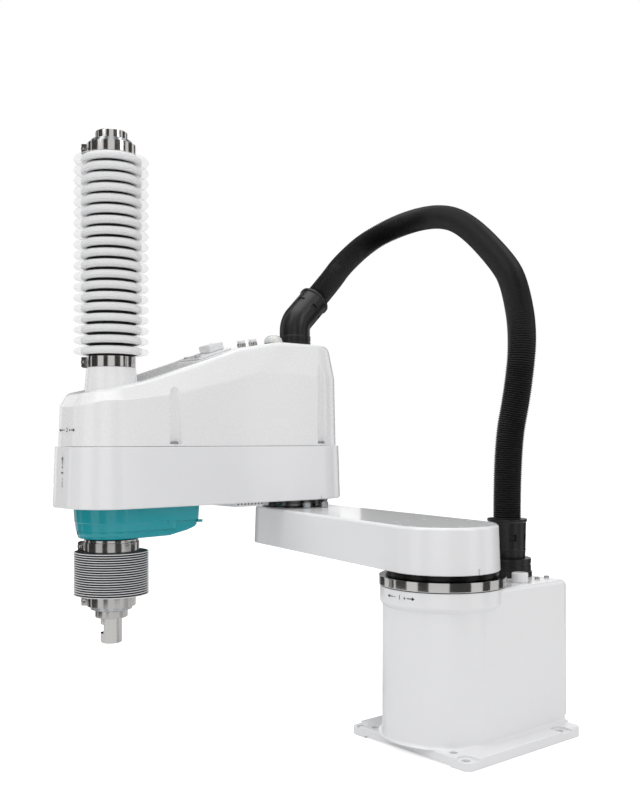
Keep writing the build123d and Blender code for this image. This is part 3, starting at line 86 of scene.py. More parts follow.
# Depth to which light enters a milky material, in millimetres
SCATTER_DEPTH = 3.0
# Windows round each hose connector
WINDOW_COUNT = 6
# Way in which the hose leaves the elbow: back and up by half a right angle
HALF_WAY_UP = Vector((-math.sqrt(0.5), 0, math.sqrt(0.5)))

Profile = Sequence[tuple[float, float]]
Point = tuple[float, float, float]


class Corner(Enum):
    """Which way a rounded corner turns when an outline is raised."""

    FOOT = "foot"
    RIM = "rim"


class Body(str, Enum):
    """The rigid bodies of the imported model."""

    BASE = "base"
    ARM_1 = "arm_1"
    ARM_2 = "arm_2"
    SLIDER = "slider"
    SPINDLE = "spindle"


def linear(code: str, alpha: float = 1.0) -> tuple[float, float, float, float]:
    """Turn an sRGB hex colour into linear light.

    Args:
        code: Colour such as "#F2F2F3".
        alpha: Opacity of the result.

    Returns:
        Red, green, blue and alpha in linear light.
    """
    channels = [int(code[start:start + 2], 16) / 255 for start in (1, 3, 5)]
    lit = [c / 12.92 if c <= 0.04045 else ((c + 0.055) / 1.055) ** 2.4 for c in channels]
    return (lit[0], lit[1], lit[2], alpha)


def add(tree: bpy.types.NodeTree, kind: str, values: dict | None = None, links: dict | None = None,
        **settings: object) -> bpy.types.Node:
    """Add one node with its settings, values and links.

    Args:
        tree: Node tree that receives the node.
        kind: Blender's type name of the node.
        values: Plain values by input name or number.
        links: Output sockets by input name or number.
        settings: Attributes of the node itself.

    Returns:
        The new node.
    """
    made = tree.nodes.new(kind)
    for name, value in settings.items():
        setattr(made, name, value)
    for name, value in (values or {}).items():
        made.inputs[name].default_value = value
    for name, socket in (links or {}).items():
        tree.links.new(socket, made.inputs[name])
    return made


def rotation(degrees: float, axis: str = "Z") -> Matrix:
    """Give a rotation about one axis, in degrees."""
    return Matrix.Rotation(math.radians(degrees), 4, axis)


def linked(name: str, data: bpy.types.ID) -> bpy.types.Object:
    """Put a new object into the scene.

    Args:
        name: Name of the object.
        data: Its mesh, curve, lamp or camera.

    Returns:
        The new object.
    """
    made = bpy.data.objects.new(name, data)
    bpy.context.scene.collection.objects.link(made)
    return made


def final_mesh(holder: bpy.types.Object) -> bpy.types.Mesh:
    """Give an object's shape after its modifiers as a new mesh."""
    return bpy.data.meshes.new_from_object(holder.evaluated_get(bpy.context.evaluated_depsgraph_get()))


def bare_material(name: str) -> bpy.types.Material:
    """Make a material with an empty node tree.

    Args:
        name: Name of the material.

    Returns:
        The new material.
    """
    made = bpy.data.materials.new(name)
    made.use_nodes = True
    made.node_tree.nodes.clear()
    return made


@dataclass(frozen=True)
class Finish:
    """A surface finish with a fine procedural pattern in object space.

    Sizes are in millimetres. The grain is one noise pattern, stretched to suit how the surface was made.
    """

    name: str
    colour: str
    shade: str
    roughness: float
    slot: str
    metallic: float = 0.0
    ior: float = 1.5
    coat: float = 0.0
    grain: float = 1.5
    stretch: Point = (1.0, 1.0, 1.0)
    relief: float = 0.1
    wander: float = 0.06
    subsurface: float = 0.0
    transmission: float = 0.0
    alpha: float = 1.0

    def material(self) -> bpy.types.Material:
        """Give the finish's material, making it on first use."""
        ready = bpy.data.materials.get(self.name)
        if ready:
            return ready
        made = bare_material(self.name)
        tree = made.node_tree
        place = add(tree, "ShaderNodeTexCoord")
        scale = tuple(part / (self.grain * MM) for part in self.stretch)
        mapped = add(tree, "ShaderNodeMapping", {"Scale": scale}, {"Vector": place.outputs["Object"]})
        noise = add(tree, "ShaderNodeTexNoise", {"Scale": 1.0, "Detail": 3.0, "Roughness": 0.6},
                    {"Vector": mapped.outputs["Vector"]})
        mixed = add(tree, "ShaderNodeMix", {6: linear(self.colour), 7: linear(self.shade)},
                    {0: noise.outputs["Fac"]}, data_type="RGBA")
        low, high = max(SMOOTHEST, self.roughness - self.wander), self.roughness + self.wander
        rough = add(tree, "ShaderNodeMapRange", {"To Min": low, "To Max": high},
                    {"Value": noise.outputs["Fac"]})
        height = RELIEF_SHARE * self.grain * MM
        bump = add(tree, "ShaderNodeBump", {"Strength": self.relief, "Distance": height},
                   {"Height": noise.outputs["Fac"]})
        fixed = {"Metallic": self.metallic, "Coat Weight": self.coat, "Coat Roughness": COAT_ROUGHNESS,
                 "Subsurface Weight": self.subsurface, "Subsurface Scale": SCATTER_DEPTH * MM,
                 "Transmission Weight": self.transmission, "Alpha": self.alpha}
        if not self.metallic:
            fixed["IOR"] = self.ior
        shader = add(tree, "ShaderNodeBsdfPrincipled", fixed,
                     {"Base Color": mixed.outputs[2], "Roughness": rough.outputs["Result"],
                      "Normal": bump.outputs["Normal"]})
        add(tree, "ShaderNodeOutputMaterial", None, {"Surface": shader.outputs["BSDF"]})
        made.diffuse_color = linear(self.colour)
        return made


# Baked white enamel on the castings: hard gloss with a faint orange peel
ENAMEL = Finish("white_enamel", "#F1F1F2", "#ECECEE", 0.24, "white_paint", coat=0.35, grain=1.6,
                relief=0.015)
# Painted ABS of the cover: the same white, a little softer in its gloss
COVER_WHITE = Finish("white_abs_cover", "#F3F3F4", "#EFEFF0", 0.27, "white_cover", coat=0.3, grain=2.2,
                     relief=0.012)
# Teal enamel on the spindle housing: smooth, with a soft gloss
TEAL = Finish("teal_enamel", "#0F9CA6", "#0C95A0", 0.25, "teal_paint", coat=0.3, grain=0.9, relief=0.03)
# Ground and polished bearing steel: bright, with fine turning lines round its axis
POLISHED = Finish("polished_bearing_steel", "#D2D1CF", "#CBCAC8", 0.1, "polished_steel", metallic=1.0,
                  grain=0.8, stretch=(0.02, 0.02, 1.0), relief=0.008, wander=0.02)
# Turned stainless steel of the clamps and collars: bright, a little softer than the polished ring
TURNED = Finish("turned_stainless_steel", "#C6C4C2", "#BDBBB9", 0.13, "brushed_steel", metallic=1.0,
                grain=0.7, stretch=(0.02, 0.02, 1.0), relief=0.01, wander=0.03)
# Black oxide on the reducer flanges: dark, oily and slightly mottled
BLACK_OXIDE = Finish("black_oxide_steel", "#232323", "#191919", 0.26, "dark_steel", metallic=0.8, grain=1.2,
                     relief=0.06)
# Bright zinc on screws: a pale metal with a soft shine
ZINC = Finish("bright_zinc_plate", "#C4C4C6", "#AFB0B3", 0.28, "bright_screws", metallic=1.0, grain=0.6,
              relief=0.06)
# Polyamide conduit: deep black with a low sheen on its ridges
CONDUIT = Finish("black_polyamide_conduit", "#0B0B0B", "#070707", 0.45, "black_rubber", grain=1.8,
                 relief=0.08)
# Moulded glass-filled nylon of the hose fittings: satin black, finely mottled
NYLON = Finish("black_moulded_nylon", "#0C0C0D", "#080808", 0.36, "black_plastic", grain=0.9, relief=0.1)
# Silicone rubber of the bellows: milky where it is thick
SILICONE = Finish("milky_silicone", "#F4F4F5", "#EEEEEF", 0.42, "bellows_white", grain=2.5, relief=0.02,
                  ior=1.41)
# The same silicone where it is thin: almost clear, with a faint edge
CLEAR_SILICONE = Finish("clear_silicone_lip", "#FBFBFB", "#F6F6F6", 0.12, "bellows_white", grain=2.5,
                        relief=0.02, alpha=0.2, ior=1.41)
# Painted shade: a dull black put at the roots of the bellows' folds, in the gaps between the closed pleats
# and in the housing's slit, where shade falls
PAINTED_SHADE = Finish("painted_shade_black", "#191919", "#0F0F0F", 0.6, "bellows_white", grain=0.8, relief=0.1)
# Anodised aluminium motor housings: a dark satin metal
ANODISED = Finish("black_anodised_aluminium", "#232325", "#1A1A1C", 0.4, "motor_black", metallic=0.6,
                  grain=0.6, relief=0.08)
# Milled aluminium of the sleeves and inside the second arm: pale metal with fine cutter lines
MILLED = Finish("milled_aluminium", "#C7C9CC", "#BCBEC1", 0.26, "bare_aluminium", metallic=1.0, grain=0.8,
                stretch=(1.0, 0.1, 1.0), relief=0.02)
# Neoprene belts: dull black rubber
BELT = Finish("neoprene_belt", "#151515", "#0E0E0E", 0.7, "belt_rubber", grain=0.7, relief=0.2)
# Nickel plated brass: a neutral metal with a slightly soft shine
NICKEL = Finish("nickel_plated_brass", "#CDCCCA", "#C2C1BF", 0.2, "brass_nickel", metallic=1.0, grain=0.7,
                relief=0.02)
# Phosphated steel of the second joint's disc: mid grey with a dull metal shine
GUNMETAL = Finish("phosphated_steel", "#6E6D6C", "#5E5D5C", 0.2, "dark_steel", metallic=1.0, grain=0.9,
                  relief=0.02)
# Frosted polycarbonate lamp dome: white, with a faint glow in its edge
LENS = Finish("frosted_polycarbonate", "#F8F8F7", "#F2F2F1", 0.18, "lamp_lens", grain=2.0, relief=0.03,
              transmission=0.35, subsurface=0.2, ior=1.58)
# Black ink of the printed arrows and numbers: flat and dull
INK = Finish("black_print_ink", "#1B1B1D", "#141416", 0.5, "black_plastic", grain=0.8, relief=0.05)

BY_SLOT = {finish.slot: finish for finish in (
    ENAMEL, COVER_WHITE, TEAL, POLISHED, TURNED, BLACK_OXIDE, ZINC, CONDUIT, NYLON, SILICONE, ANODISED,
    MILLED, BELT, NICKEL, LENS)}


def softened(profile: Profile, reach: float) -> list[tuple[float, float]]:
    """Round the inner corners of a profile.

    Args:
        profile: Points as (radius, height).
        reach: How far each rounding goes along its two sides.

    Returns:
        The profile with three points in place of each inner corner.
    """
    points = [Vector(point) for point in profile]
    soft = [points[0]]
    for before, here, after in zip(points, points[1:], points[2:]):
        back, ahead = before - here, after - here
        cut = min(reach, LONGEST_CUT * back.length, LONGEST_CUT * ahead.length)
        first = here + back.normalized() * cut
        last = here + ahead.normalized() * cut
        soft += [first, here * 0.5 + (first + last) * 0.25, last]
    soft.append(points[-1])
    return [(point.x, point.y) for point in soft]


def corner_steps(radius: float, corner: Corner, count: int = 5) -> list[tuple[float, float]]:
    """List the insets and rises that round a corner.

    Args:
        radius: Radius of the corner.
        corner: Foot fillet or rounded rim.
        count: Number of facets.

    Returns:
        Pairs of inset and rise.
    """
    angles = [math.radians(90 * index / count) for index in range(count + 1)]
    if corner is Corner.FOOT:
        path = [(radius * math.sin(angle), radius - radius * math.cos(angle)) for angle in angles]
    else:
        path = [(radius - radius * math.cos(angle), radius * math.sin(angle)) for angle in angles]
    return [(b[0] - a[0], b[1] - a[1]) for a, b in zip(path, path[1:])]


def turned(profile: Profile, soft: float = 0.0, segments: int = 96) -> bmesh.types.BMesh:
    """Turn a profile about the upright axis.

    Args:
        profile: Points as (radius, height) in millimetres.
        soft: Reach of the rounding at each corner, or nothing for sharp ones.
        segments: Facets round the axis.

    Returns:
        The turned mesh.
    """
    line = softened(profile, soft) if soft else list(profile)
    bm = bmesh.new()
    verts = [bm.verts.new((radius, 0.0, height)) for radius, height in line]
    edges = [bm.edges.new(pair) for pair in zip(verts, verts[1:])]
    bmesh.ops.spin(bm, geom=verts + edges, cent=(0, 0, 0), axis=(0, 0, 1), angle=math.tau, steps=segments,
                   use_merge=True)
    bmesh.ops.remove_doubles(bm, verts=bm.verts[:], dist=MERGE_DISTANCE)
    bmesh.ops.recalc_face_normals(bm, faces=bm.faces[:])
    return bm


def raised(radius: float, shape: Callable[[Vector], Vector], level: float, steps: Profile,
           segments: int = 96) -> bmesh.types.BMesh:
    """Raise an outline step by step into a closed block.

    Args:
        radius: Radius of the circle that the outline starts from.
        shape: Moves a point of that circle to its place on the outline.
        level: Height of the first outline.
        steps: Pairs of inset and rise.
        segments: Points on the outline.

    Returns:
        The block, closed below and above.
    """
    bm = bmesh.new()
    bmesh.ops.create_circle(bm, cap_ends=True, segments=segments, radius=radius,
                            matrix=Matrix.Rotation(math.pi / segments, 4, "Z"))
    for vert in bm.verts:
        vert.co = shape(vert.co) + Vector((0, 0, level))
    top = bm.faces[:][0]
    top.normal_update()
    if top.normal.z < 0:
        bmesh.ops.reverse_faces(bm, faces=[top])
    for inset, rise in steps:
        bmesh.ops.inset_individual(bm, faces=[top], thickness=inset, depth=rise, use_even_offset=True)
    bm.normal_update()
    return closed(bm)


def block(low: Point, high: Point, soft: float = 0.0, segments: int = 2) -> bmesh.types.BMesh:
    """Make a box between two corners.

    Args:
        low: Lowest corner.
        high: Highest corner.
        soft: Width of the bevel on its edges.
        segments: Facets of the bevel.

    Returns:
        The box.
    """
    bm = bmesh.new()
    middle = [(a + b) / 2 for a, b in zip(low, high)]
    size = [b - a for a, b in zip(low, high)]
    bmesh.ops.create_cube(bm, size=1.0, matrix=Matrix.Translation(middle) @ Matrix.Diagonal((*size, 1.0)))
    if soft:
        bmesh.ops.bevel(bm, geom=bm.edges[:], offset=soft, segments=segments, profile=0.5, affect="EDGES",
                        material=-1)
    return bm


def rod(radius: float, low: float, high: float, x: float = 0.0, y: float = 0.0,
        segments: int = 32) -> bmesh.types.BMesh:
    """Make an upright cylinder.

    Args:
        radius: Its radius.
        low: Height of its foot.
        high: Height of its top.
        x: Place of its axis.
        y: Place of its axis.
        segments: Facets round it.

    Returns:
        The cylinder.
    """
    bm = bmesh.new()
    middle = Matrix.Translation((x, y, (low + high) / 2))
    bmesh.ops.create_cone(bm, cap_ends=True, segments=segments, radius1=radius, radius2=radius,
                          depth=high - low, matrix=middle)
    return bm


def joined(parts: Sequence[bmesh.types.BMesh]) -> bmesh.types.BMesh:
    """Put several meshes into one and free them.

    Args:
        parts: The meshes.

    Returns:
        One mesh with all of them.
    """
    whole = bmesh.new()
    for part in parts:
        carrier = bpy.data.meshes.new("carrier")
        part.to_mesh(carrier)
        part.free()
        whole.from_mesh(carrier)
        bpy.data.meshes.remove(carrier)
    return whole


def placed(bm: bmesh.types.BMesh, matrix: Matrix) -> bmesh.types.BMesh:
    """Move a mesh.

    Args:
        bm: The mesh.
        matrix: Its new place, in millimetres.

    Returns:
        The same mesh.
    """
    bmesh.ops.transform(bm, matrix=matrix, verts=bm.verts[:])
    return bm


def drawn(bm: bmesh.types.BMesh, ring: Sequence[bmesh.types.BMEdge],
          step: Matrix) -> list[bmesh.types.BMEdge]:
    """Extrude a ring of edges and move the new ring.

    Args:
        bm: The mesh.
        ring: Edges that are extruded.
        step: How the new ring moves.

    Returns:
        The new ring's edges.
    """
    made = bmesh.ops.extrude_edge_only(bm, edges=ring)["geom"]
    verts = [item for item in made if isinstance(item, bmesh.types.BMVert)]
    bmesh.ops.transform(bm, matrix=step, verts=verts)
    fresh = set(verts)
    return [item for item in made if isinstance(item, bmesh.types.BMEdge)
            and item.verts[0] in fresh and item.verts[1] in fresh]


def closed(bm: bmesh.types.BMesh) -> bmesh.types.BMesh:
    """Close the open ends of a mesh and turn its faces outwards.

    Args:
        bm: The mesh.

    Returns:
        The same mesh.
    """
    bmesh.ops.holes_fill(bm, edges=[edge for edge in bm.edges if edge.is_boundary], sides=0)
    bmesh.ops.recalc_face_normals(bm, faces=bm.faces[:])
    return bm


def sliced(bm: bmesh.types.BMesh, stations: Sequence[float]) -> None:
    """Cut new edges across a mesh at several distances along X, and leave it whole.

    Args:
        bm: The mesh.
        stations: The distances.
    """
    for x in stations:
        bmesh.ops.bisect_plane(bm, geom=bm.verts[:] + bm.edges[:] + bm.faces[:], plane_co=(x, 0, 0),
                               plane_no=(1, 0, 0))


def face_reach(face: bmesh.types.BMFace) -> float:
    """Give the mean distance of a face's corners from the upright axis."""
    return sum(vert.co.to_2d().length for vert in face.verts) / len(face.verts)


def smooth_shaded(mesh: bpy.types.Mesh, crease: float) -> None:
    """Shade a mesh smooth, with its sharp edges marked.

    Args:
        mesh: The mesh.
        crease: Angle in degrees above which an edge stays sharp.
    """
    bm = bmesh.new()
    bm.from_mesh(mesh)
    for edge in bm.edges:
        edge.smooth = len(edge.link_faces) == 2 and edge.calc_face_angle(0.0) < math.radians(crease)
    for face in bm.faces:
        face.smooth = True
    bm.to_mesh(mesh)
    bm.free()


def piece(bm: bmesh.types.BMesh, name: str, body: Body | None, finish: Finish, replaces: Sequence[str] = (),
          cutters: Sequence[bmesh.types.BMesh] = (), extra: Sequence[Finish] = (), crease: float = 32.0,
          round_off: float = 0.0) -> bpy.types.Object:
    """Make a finished object from a mesh in millimetres.

    Args:
        bm: The mesh.
        name: Name of the object.
        body: Rigid body that it rides on, or None where it bends between two.
        finish: Its finish.
        replaces: CAD nodes that it stands for.
        cutters: Meshes that are cut out of it.
        extra: Finishes of its further material slots.
        crease: Angle above which an edge stays sharp.
        round_off: Width of a live bevel on the sharp edges.

    Returns:
        The object.
    """
    placed(bm, Matrix.Scale(MM, 4))
    mesh = bpy.data.meshes.new(name)
    bm.to_mesh(mesh)
    bm.free()
    made = linked(name, mesh)
    if cutters:
        carve(made, cutters)
    smooth_shaded(made.data, crease)
    for one in (finish, *extra):
        made.data.materials.append(one.material())
    if round_off:
        bevel = made.modifiers.new("edge_break", "BEVEL")
        bevel.width = round_off * MM
        bevel.segments = 2
        bevel.limit_method = "ANGLE"
        bevel.angle_limit = math.radians(crease)
    even = made.modifiers.new("even_normals", "WEIGHTED_NORMAL")
    even.keep_sharp = True
    if body:
        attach(made, body.value)
    if replaces:
        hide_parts(*replaces)
    LOG.info("%s is built, on %s", name, body.value if body else "two bodies")
    return made


def carve(body: bpy.types.Object, cutters: Sequence[bmesh.types.BMesh]) -> None:
    """Cut shapes out of an object and keep the result as its mesh.

    Args:
        body: Object that is cut.
        cutters: Meshes in millimetres; they are freed.
    """
    helpers = []
    for cutter in cutters:
        placed(cutter, Matrix.Scale(MM, 4))
        bmesh.ops.recalc_face_normals(cutter, faces=cutter.faces[:])
        mesh = bpy.data.meshes.new("cutter")
        cutter.to_mesh(mesh)
        cutter.free()
        helper = linked("cutter", mesh)
        helpers.append(helper)
        cut = body.modifiers.new("cut", "BOOLEAN")
        cut.operation = "DIFFERENCE"
        cut.solver = "EXACT"
        cut.object = helper
    old = body.data
    body.data = final_mesh(body)
    body.modifiers.clear()
    body.data.name = old.name
    bpy.data.meshes.remove(old)
    for helper in helpers:
        mesh = helper.data
        bpy.data.objects.remove(helper)
        bpy.data.meshes.remove(mesh)


@dataclass
class Layout:
    """Where the joints and the main levels are, in millimetres."""

    arm_1_length: float = 325.0
    arm_1_turn: float = -100.0
    arm_2_length: float = 275.0
    base_top: float = 167.0
    ring_top: float = 177.5
    arm_1_bottom: float = 183.5
    arm_1_top: float = 232.0
    arm_2_bottom: float = 243.0
    band_top: float = 312.5
    cover_top: float = 446.0
    cover_nose_top: float = 376.0

    @property
    def elbow(self) -> Vector:
        """Second joint's axis."""
        turn = math.radians(self.arm_1_turn)
        return Vector((self.arm_1_length * math.cos(turn), self.arm_1_length * math.sin(turn), 0))

    @property
    def on_arm_1(self) -> Matrix:
        """Place of a shape that is drawn from the first joint along +X."""
        return rotation(self.arm_1_turn)

    @property
    def on_arm_2(self) -> Matrix:
        """Place of a shape that is drawn from the second joint along +X."""
        return Matrix.Translation(self.elbow)

    @property
    def on_spindle(self) -> Matrix:
        """Place of a shape that is drawn on the spindle's axis."""
        return Matrix.Translation(self.elbow + Vector((self.arm_2_length, 0, 0)))


def pulled(front: Point, rear: Point) -> Callable[[Vector], Vector]:
    """Pull the four quarters of a circle apart.

    Args:
        front: X and Y of the front corners' centres, and their radius.
        rear: The same for the rear corners.

    Returns:
        A rule that moves a point of the circle to its quarter's corner.
    """
    def rule(point: Vector) -> Vector:
        x, y, radius = front if point.x > 0 else rear
        way = Vector((point.x, point.y, 0)).normalized()
        return Vector((x, math.copysign(y, point.y), 0)) + way * radius

    return rule


@dataclass
class BaseUnit:
    """Plate, column with box, bearing ring and the hose's foot fitting."""

    layout: Layout
    plate: tuple[float, float, float, float] = (-130.0, 55.0, 84.5, 11.0)
    plate_corner: float = 8.0
    plate_edge: float = 0.8
    relief: Point = (25.0, 61.0, 2.0)
    bolt_x: tuple[float, float] = (48.0, -102.0)
    bolt_y: float = 75.0
    bolt_hole: float = 4.5
    pocket_radius: float = 8.5
    pocket_reach: float = 20.0
    pocket_floor: float = 8.5
    dowel: tuple[float, float, float] = (44.5, 56.0, 4.0)
    column_radius: float = 63.5
    box_rear: float = -132.0
    box_corner: float = 5.0
    foot_fillet: float = 4.0
    rim: float = 4.5
    collar_radius: float = 66.4
    collar_low: float = 146.5
    collar_full: float = 151.0
    collar_wall: float = 2.0
    ring_radius: float = 67.3
    ring_bore: float = 48.2
    ring_lift: float = 0.4
    hub_radius: float = 47.9
    running_gap: float = 0.5
    neck_radius: float = 60.0
    fitting: tuple[float, float] = (-108.0, 0.0)
    window_turn: float = 57.0
    cap: tuple[float, float, float] = (-75.0, 44.0, 8.8)

    def build(self) -> None:
        """Build every piece of the base."""
        self.build_plate()
        self.build_body()
        self.build_bearing()
        self.build_cap()
        self.build_fitting()

    def build_plate(self) -> None:
        """Bench plate with open bolt pockets, dowel holes and relieved ends."""
        rear, front, half, top = self.plate
        r = self.plate_corner
        shape = pulled((front - r, half - r, r), (rear + r, half - r, r))
        edge = self.plate_edge
        bm = raised(r, shape, 0.0, [(0.0, top - edge), (edge, edge)], 48)
        cutters = []
        for x in self.bolt_x:
            for side in (-1, 1):
                cutters.append(self.pocket(x, side))
                cutters.append(rod(self.bolt_hole, -PAST, top + PAST, x, side * self.bolt_y))
        dowel_x, dowel_y, dowel_radius = self.dowel
        for side in (-1, 1):
            cutters.append(rod(dowel_radius, -PAST, top + PAST, dowel_x, side * dowel_y))
        run, wide, depth = self.relief
        cutters.append(block((front - run, -wide, -PAST), (front + PAST, wide, depth)))
        cutters.append(block((rear - PAST, -wide, -PAST), (rear + run, wide, depth)))
        piece(bm, "bench_plate", Body.BASE, ENAMEL, cutters=cutters, round_off=0.4)

    def pocket(self, x: float, side: int) -> bmesh.types.BMesh:
        """Cutter for one bolt pocket, open to the plate's side.

        Args:
            x: Place of the bolt.
            side: Which side of the plate.

        Returns:
            The cutter.
        """
        def shape(point: Vector) -> Vector:
            reach = self.pocket_reach * side if point.y * side > 0 else 0.0
            return Vector((point.x + x, side * self.bolt_y + point.y + reach, 0))

        return raised(self.pocket_radius, shape, self.pocket_floor, [(0.0, self.plate[3])], 48)

    def build_body(self) -> None:
        """Column and box in one block, with a foot fillet, a round rim and the bearing's collar."""
        grow = self.foot_fillet
        corner = self.box_corner
        rear = (self.box_rear + corner, self.column_radius - corner, corner + grow)
        shape = pulled((0.0, 0.0, self.column_radius + grow), rear)
        low = self.plate[3]
        wall = self.layout.base_top - low - grow - self.rim
        steps = corner_steps(grow, Corner.FOOT) + [(0.0, wall)] + corner_steps(self.rim, Corner.RIM)
        bm = raised(self.column_radius, shape, low, steps, 128)
        piece(bm, "base_body", Body.BASE, ENAMEL, replaces=["base_casting"])
        inner = self.column_radius - self.collar_wall
        top = self.layout.base_top
        profile = [(inner, self.collar_low), (self.column_radius, self.collar_low),
                   (self.collar_radius, self.collar_full), (self.collar_radius, top), (inner, top)]
        piece(turned(profile, 1.2, 128), "bearing_collar", Body.BASE, ENAMEL)

    def build_bearing(self) -> None:
        """Polished ring on the column, and the dark flange that turns on it."""
        low = self.layout.base_top
        top = self.layout.ring_top
        r = self.ring_radius
        bore = self.ring_bore
        foot = low + self.ring_lift
        ring = [(bore, foot), (r - 1.2, foot), (r, low + 1.0), (r, top), (bore, top), (bore, foot)]
        piece(turned(ring, 0.5, 128), "bearing_ring", Body.BASE, POLISHED, replaces=["j1_bearing_ring"])
        floor = low + self.running_gap
        # Thin dark disc in the gap under the ring: painted shade
        gap_shade = [(bore + 0.3, low), (r - 1.0, low), (r - 1.0, floor), (bore + 0.3, floor)]
        piece(turned(gap_shade, 0.0, 128), "bearing_gap_painted_shade", Body.BASE, BLACK_OXIDE)
        start = top + self.running_gap
        end = self.layout.arm_1_bottom
        neck = [(0.0, start), (self.neck_radius, start), (self.neck_radius, end), (0.0, end)]
        hub = [(0.0, floor), (self.hub_radius, floor), (self.hub_radius, start), (0.0, start)]
        flange = joined([turned(neck, 0.6, 96), turned(hub, 0.0, 96)])
        piece(flange, "turning_flange", Body.ARM_1, BLACK_OXIDE, replaces=["j1_output_flange"])

    def build_cap(self) -> None:
        """White screw cap beside the hose, with a small step round its foot."""
        x, y, r = self.cap
        low = self.layout.base_top
        profile = [(0.0, low), (r - 0.6, low), (r - 0.6, low + 0.8), (r, low + 0.9), (r, low + 10.0),
                   (r - 1.3, low + 10.5), (0.0, low + 10.5)]
        bm = placed(turned(profile, 0.9, 48), Matrix.Translation((x, y, 0)))
        piece(bm, "screw_cap", Body.BASE, ENAMEL, replaces=["base_cap_post"])

    def build_fitting(self) -> None:
        """Foot flange, union nut and windowed body of the straight hose connector."""
        low = self.layout.base_top
        here = Matrix.Translation((*self.fitting, low))
        nut = [(13.5, 0), (27.8, 0), (27.8, 5.7), (26.7, 6.0), (26.7, 12.5), (26.2, 12.6), (26.2, 14.8),
               (26.7, 14.9), (26.7, 20.2), (25.6, 20.4), (13.5, 20.4), (13.5, 0)]
        piece(placed(turned(nut, 0.4, 64), here), "hose_union_nut", Body.BASE, NYLON,
              replaces=["hose_base_nut"])
        body = [(13.5, 20.4), (20.2, 20.4), (20.6, 29.0), (20.9, 29.4), (20.9, 30.6), (20.6, 31.0),
                (21.2, 60.5), (22.3, 61.8), (22.3, 64.4), (16.5, 64.9), (13.5, 64.9), (13.5, 20.4)]
        windows = []
        for index in range(WINDOW_COUNT):
            window = block((18.6, -4.2, 40.3), (23.0, 4.2, 47.6))
            turn = self.window_turn + index * 360 / WINDOW_COUNT
            windows.append(placed(window, here @ rotation(turn)))
        bm = placed(turned(body, 0.5, 64), here)
        piece(bm, "hose_connector", Body.BASE, NYLON, replaces=["hose_base_fitting"], cutters=windows)


@dataclass
class FirstArm:
    """The lower arm with its screw pockets, and the stop posts at the second joint."""

    layout: Layout
    root_radius: float = 60.9
    tip_radius: float = 54.3
    draft: float = 1.6
    rim: float = 3.6
    edge: float = 0.7
    screw_circle: float = 50.0
    screw_count: int = 12
    screw_turn: float = 15.0
    screw_pocket: tuple[float, float] = (3.8, 4.0)
    joint_pocket: tuple[float, float] = (38.2, 6.0)
    cover_pocket: tuple[float, float, float, float] = (71.0, 280.0, 52.0, 0.6)
    stop_distance: float = 269.0
    stop_offset: float = 13.0

    def build(self) -> None:
        """Build every piece of the first arm."""
        low, top = self.layout.arm_1_bottom, self.layout.arm_1_top
        edge = self.edge

        def shape(point: Vector) -> Vector:
            radius = self.tip_radius if point.x > 0 else self.root_radius
            start = self.layout.arm_1_length if point.x > 0 else 0.0
            return Vector((start, 0, 0)) + Vector((point.x, point.y, 0)).normalized() * (radius - edge)

        steps = [(-edge, edge), (self.draft, top - low - edge - self.rim)]
        steps += corner_steps(self.rim, Corner.RIM)
        bm = raised(self.root_radius, shape, low, steps, 128)
        pocket, depth = self.screw_pocket
        cutters = []
        for index in range(self.screw_count):
            angle = math.radians(self.screw_turn + index * 360 / self.screw_count)
            x, y = self.screw_circle * math.cos(angle), self.screw_circle * math.sin(angle)
            cutters.append(rod(pocket, top - depth, top + PAST, x, y, 20))
        pocket, floor = self.joint_pocket
        cutters.append(rod(pocket, low + floor, top + PAST, self.layout.arm_1_length, 0.0, 64))
        back = -self.root_radius
        cutters.append(block((back - PAST, -1.2, low - PAST), (back + 1.4, 1.2, low + 6.5)))
        start, end, half, depth = self.cover_pocket
        cutters.append(block((start, -half, low - PAST), (end, half, low + depth)))
        for cutter in cutters:
            placed(cutter, self.layout.on_arm_1)
        piece(placed(bm, self.layout.on_arm_1), "lower_arm", Body.ARM_1, ENAMEL, replaces=["arm_1_casting"],
              cutters=cutters)
        posts = []
        for side in (-self.stop_offset, self.stop_offset):
            here = self.layout.on_arm_1 @ Matrix.Translation((self.stop_distance, side, top))
            posts.append(placed(self.stop_post(), here))
        piece(joined(posts), "stop_posts", Body.ARM_1, ZINC, replaces=["j2_stop_pins"])

    def stop_post(self) -> bmesh.types.BMesh:
        """Knurled head of one stop screw with its socket."""
        profile = [(0.0, 0.0), (5.0, 0.0), (5.5, 0.5), (5.5, 6.9), (5.0, 7.5), (2.6, 7.5), (2.6, 4.5),
                   (0.0, 4.5)]
        knurled, pressed = 5.3, 0.96
        bm = turned(profile, 0.25, 48)
        for index, vert in enumerate(sorted(bm.verts, key=lambda v: math.atan2(v.co.y, v.co.x))):
            if vert.co.to_2d().length > knurled and index % 2:
                vert.co.x *= pressed
                vert.co.y *= pressed
        return bm


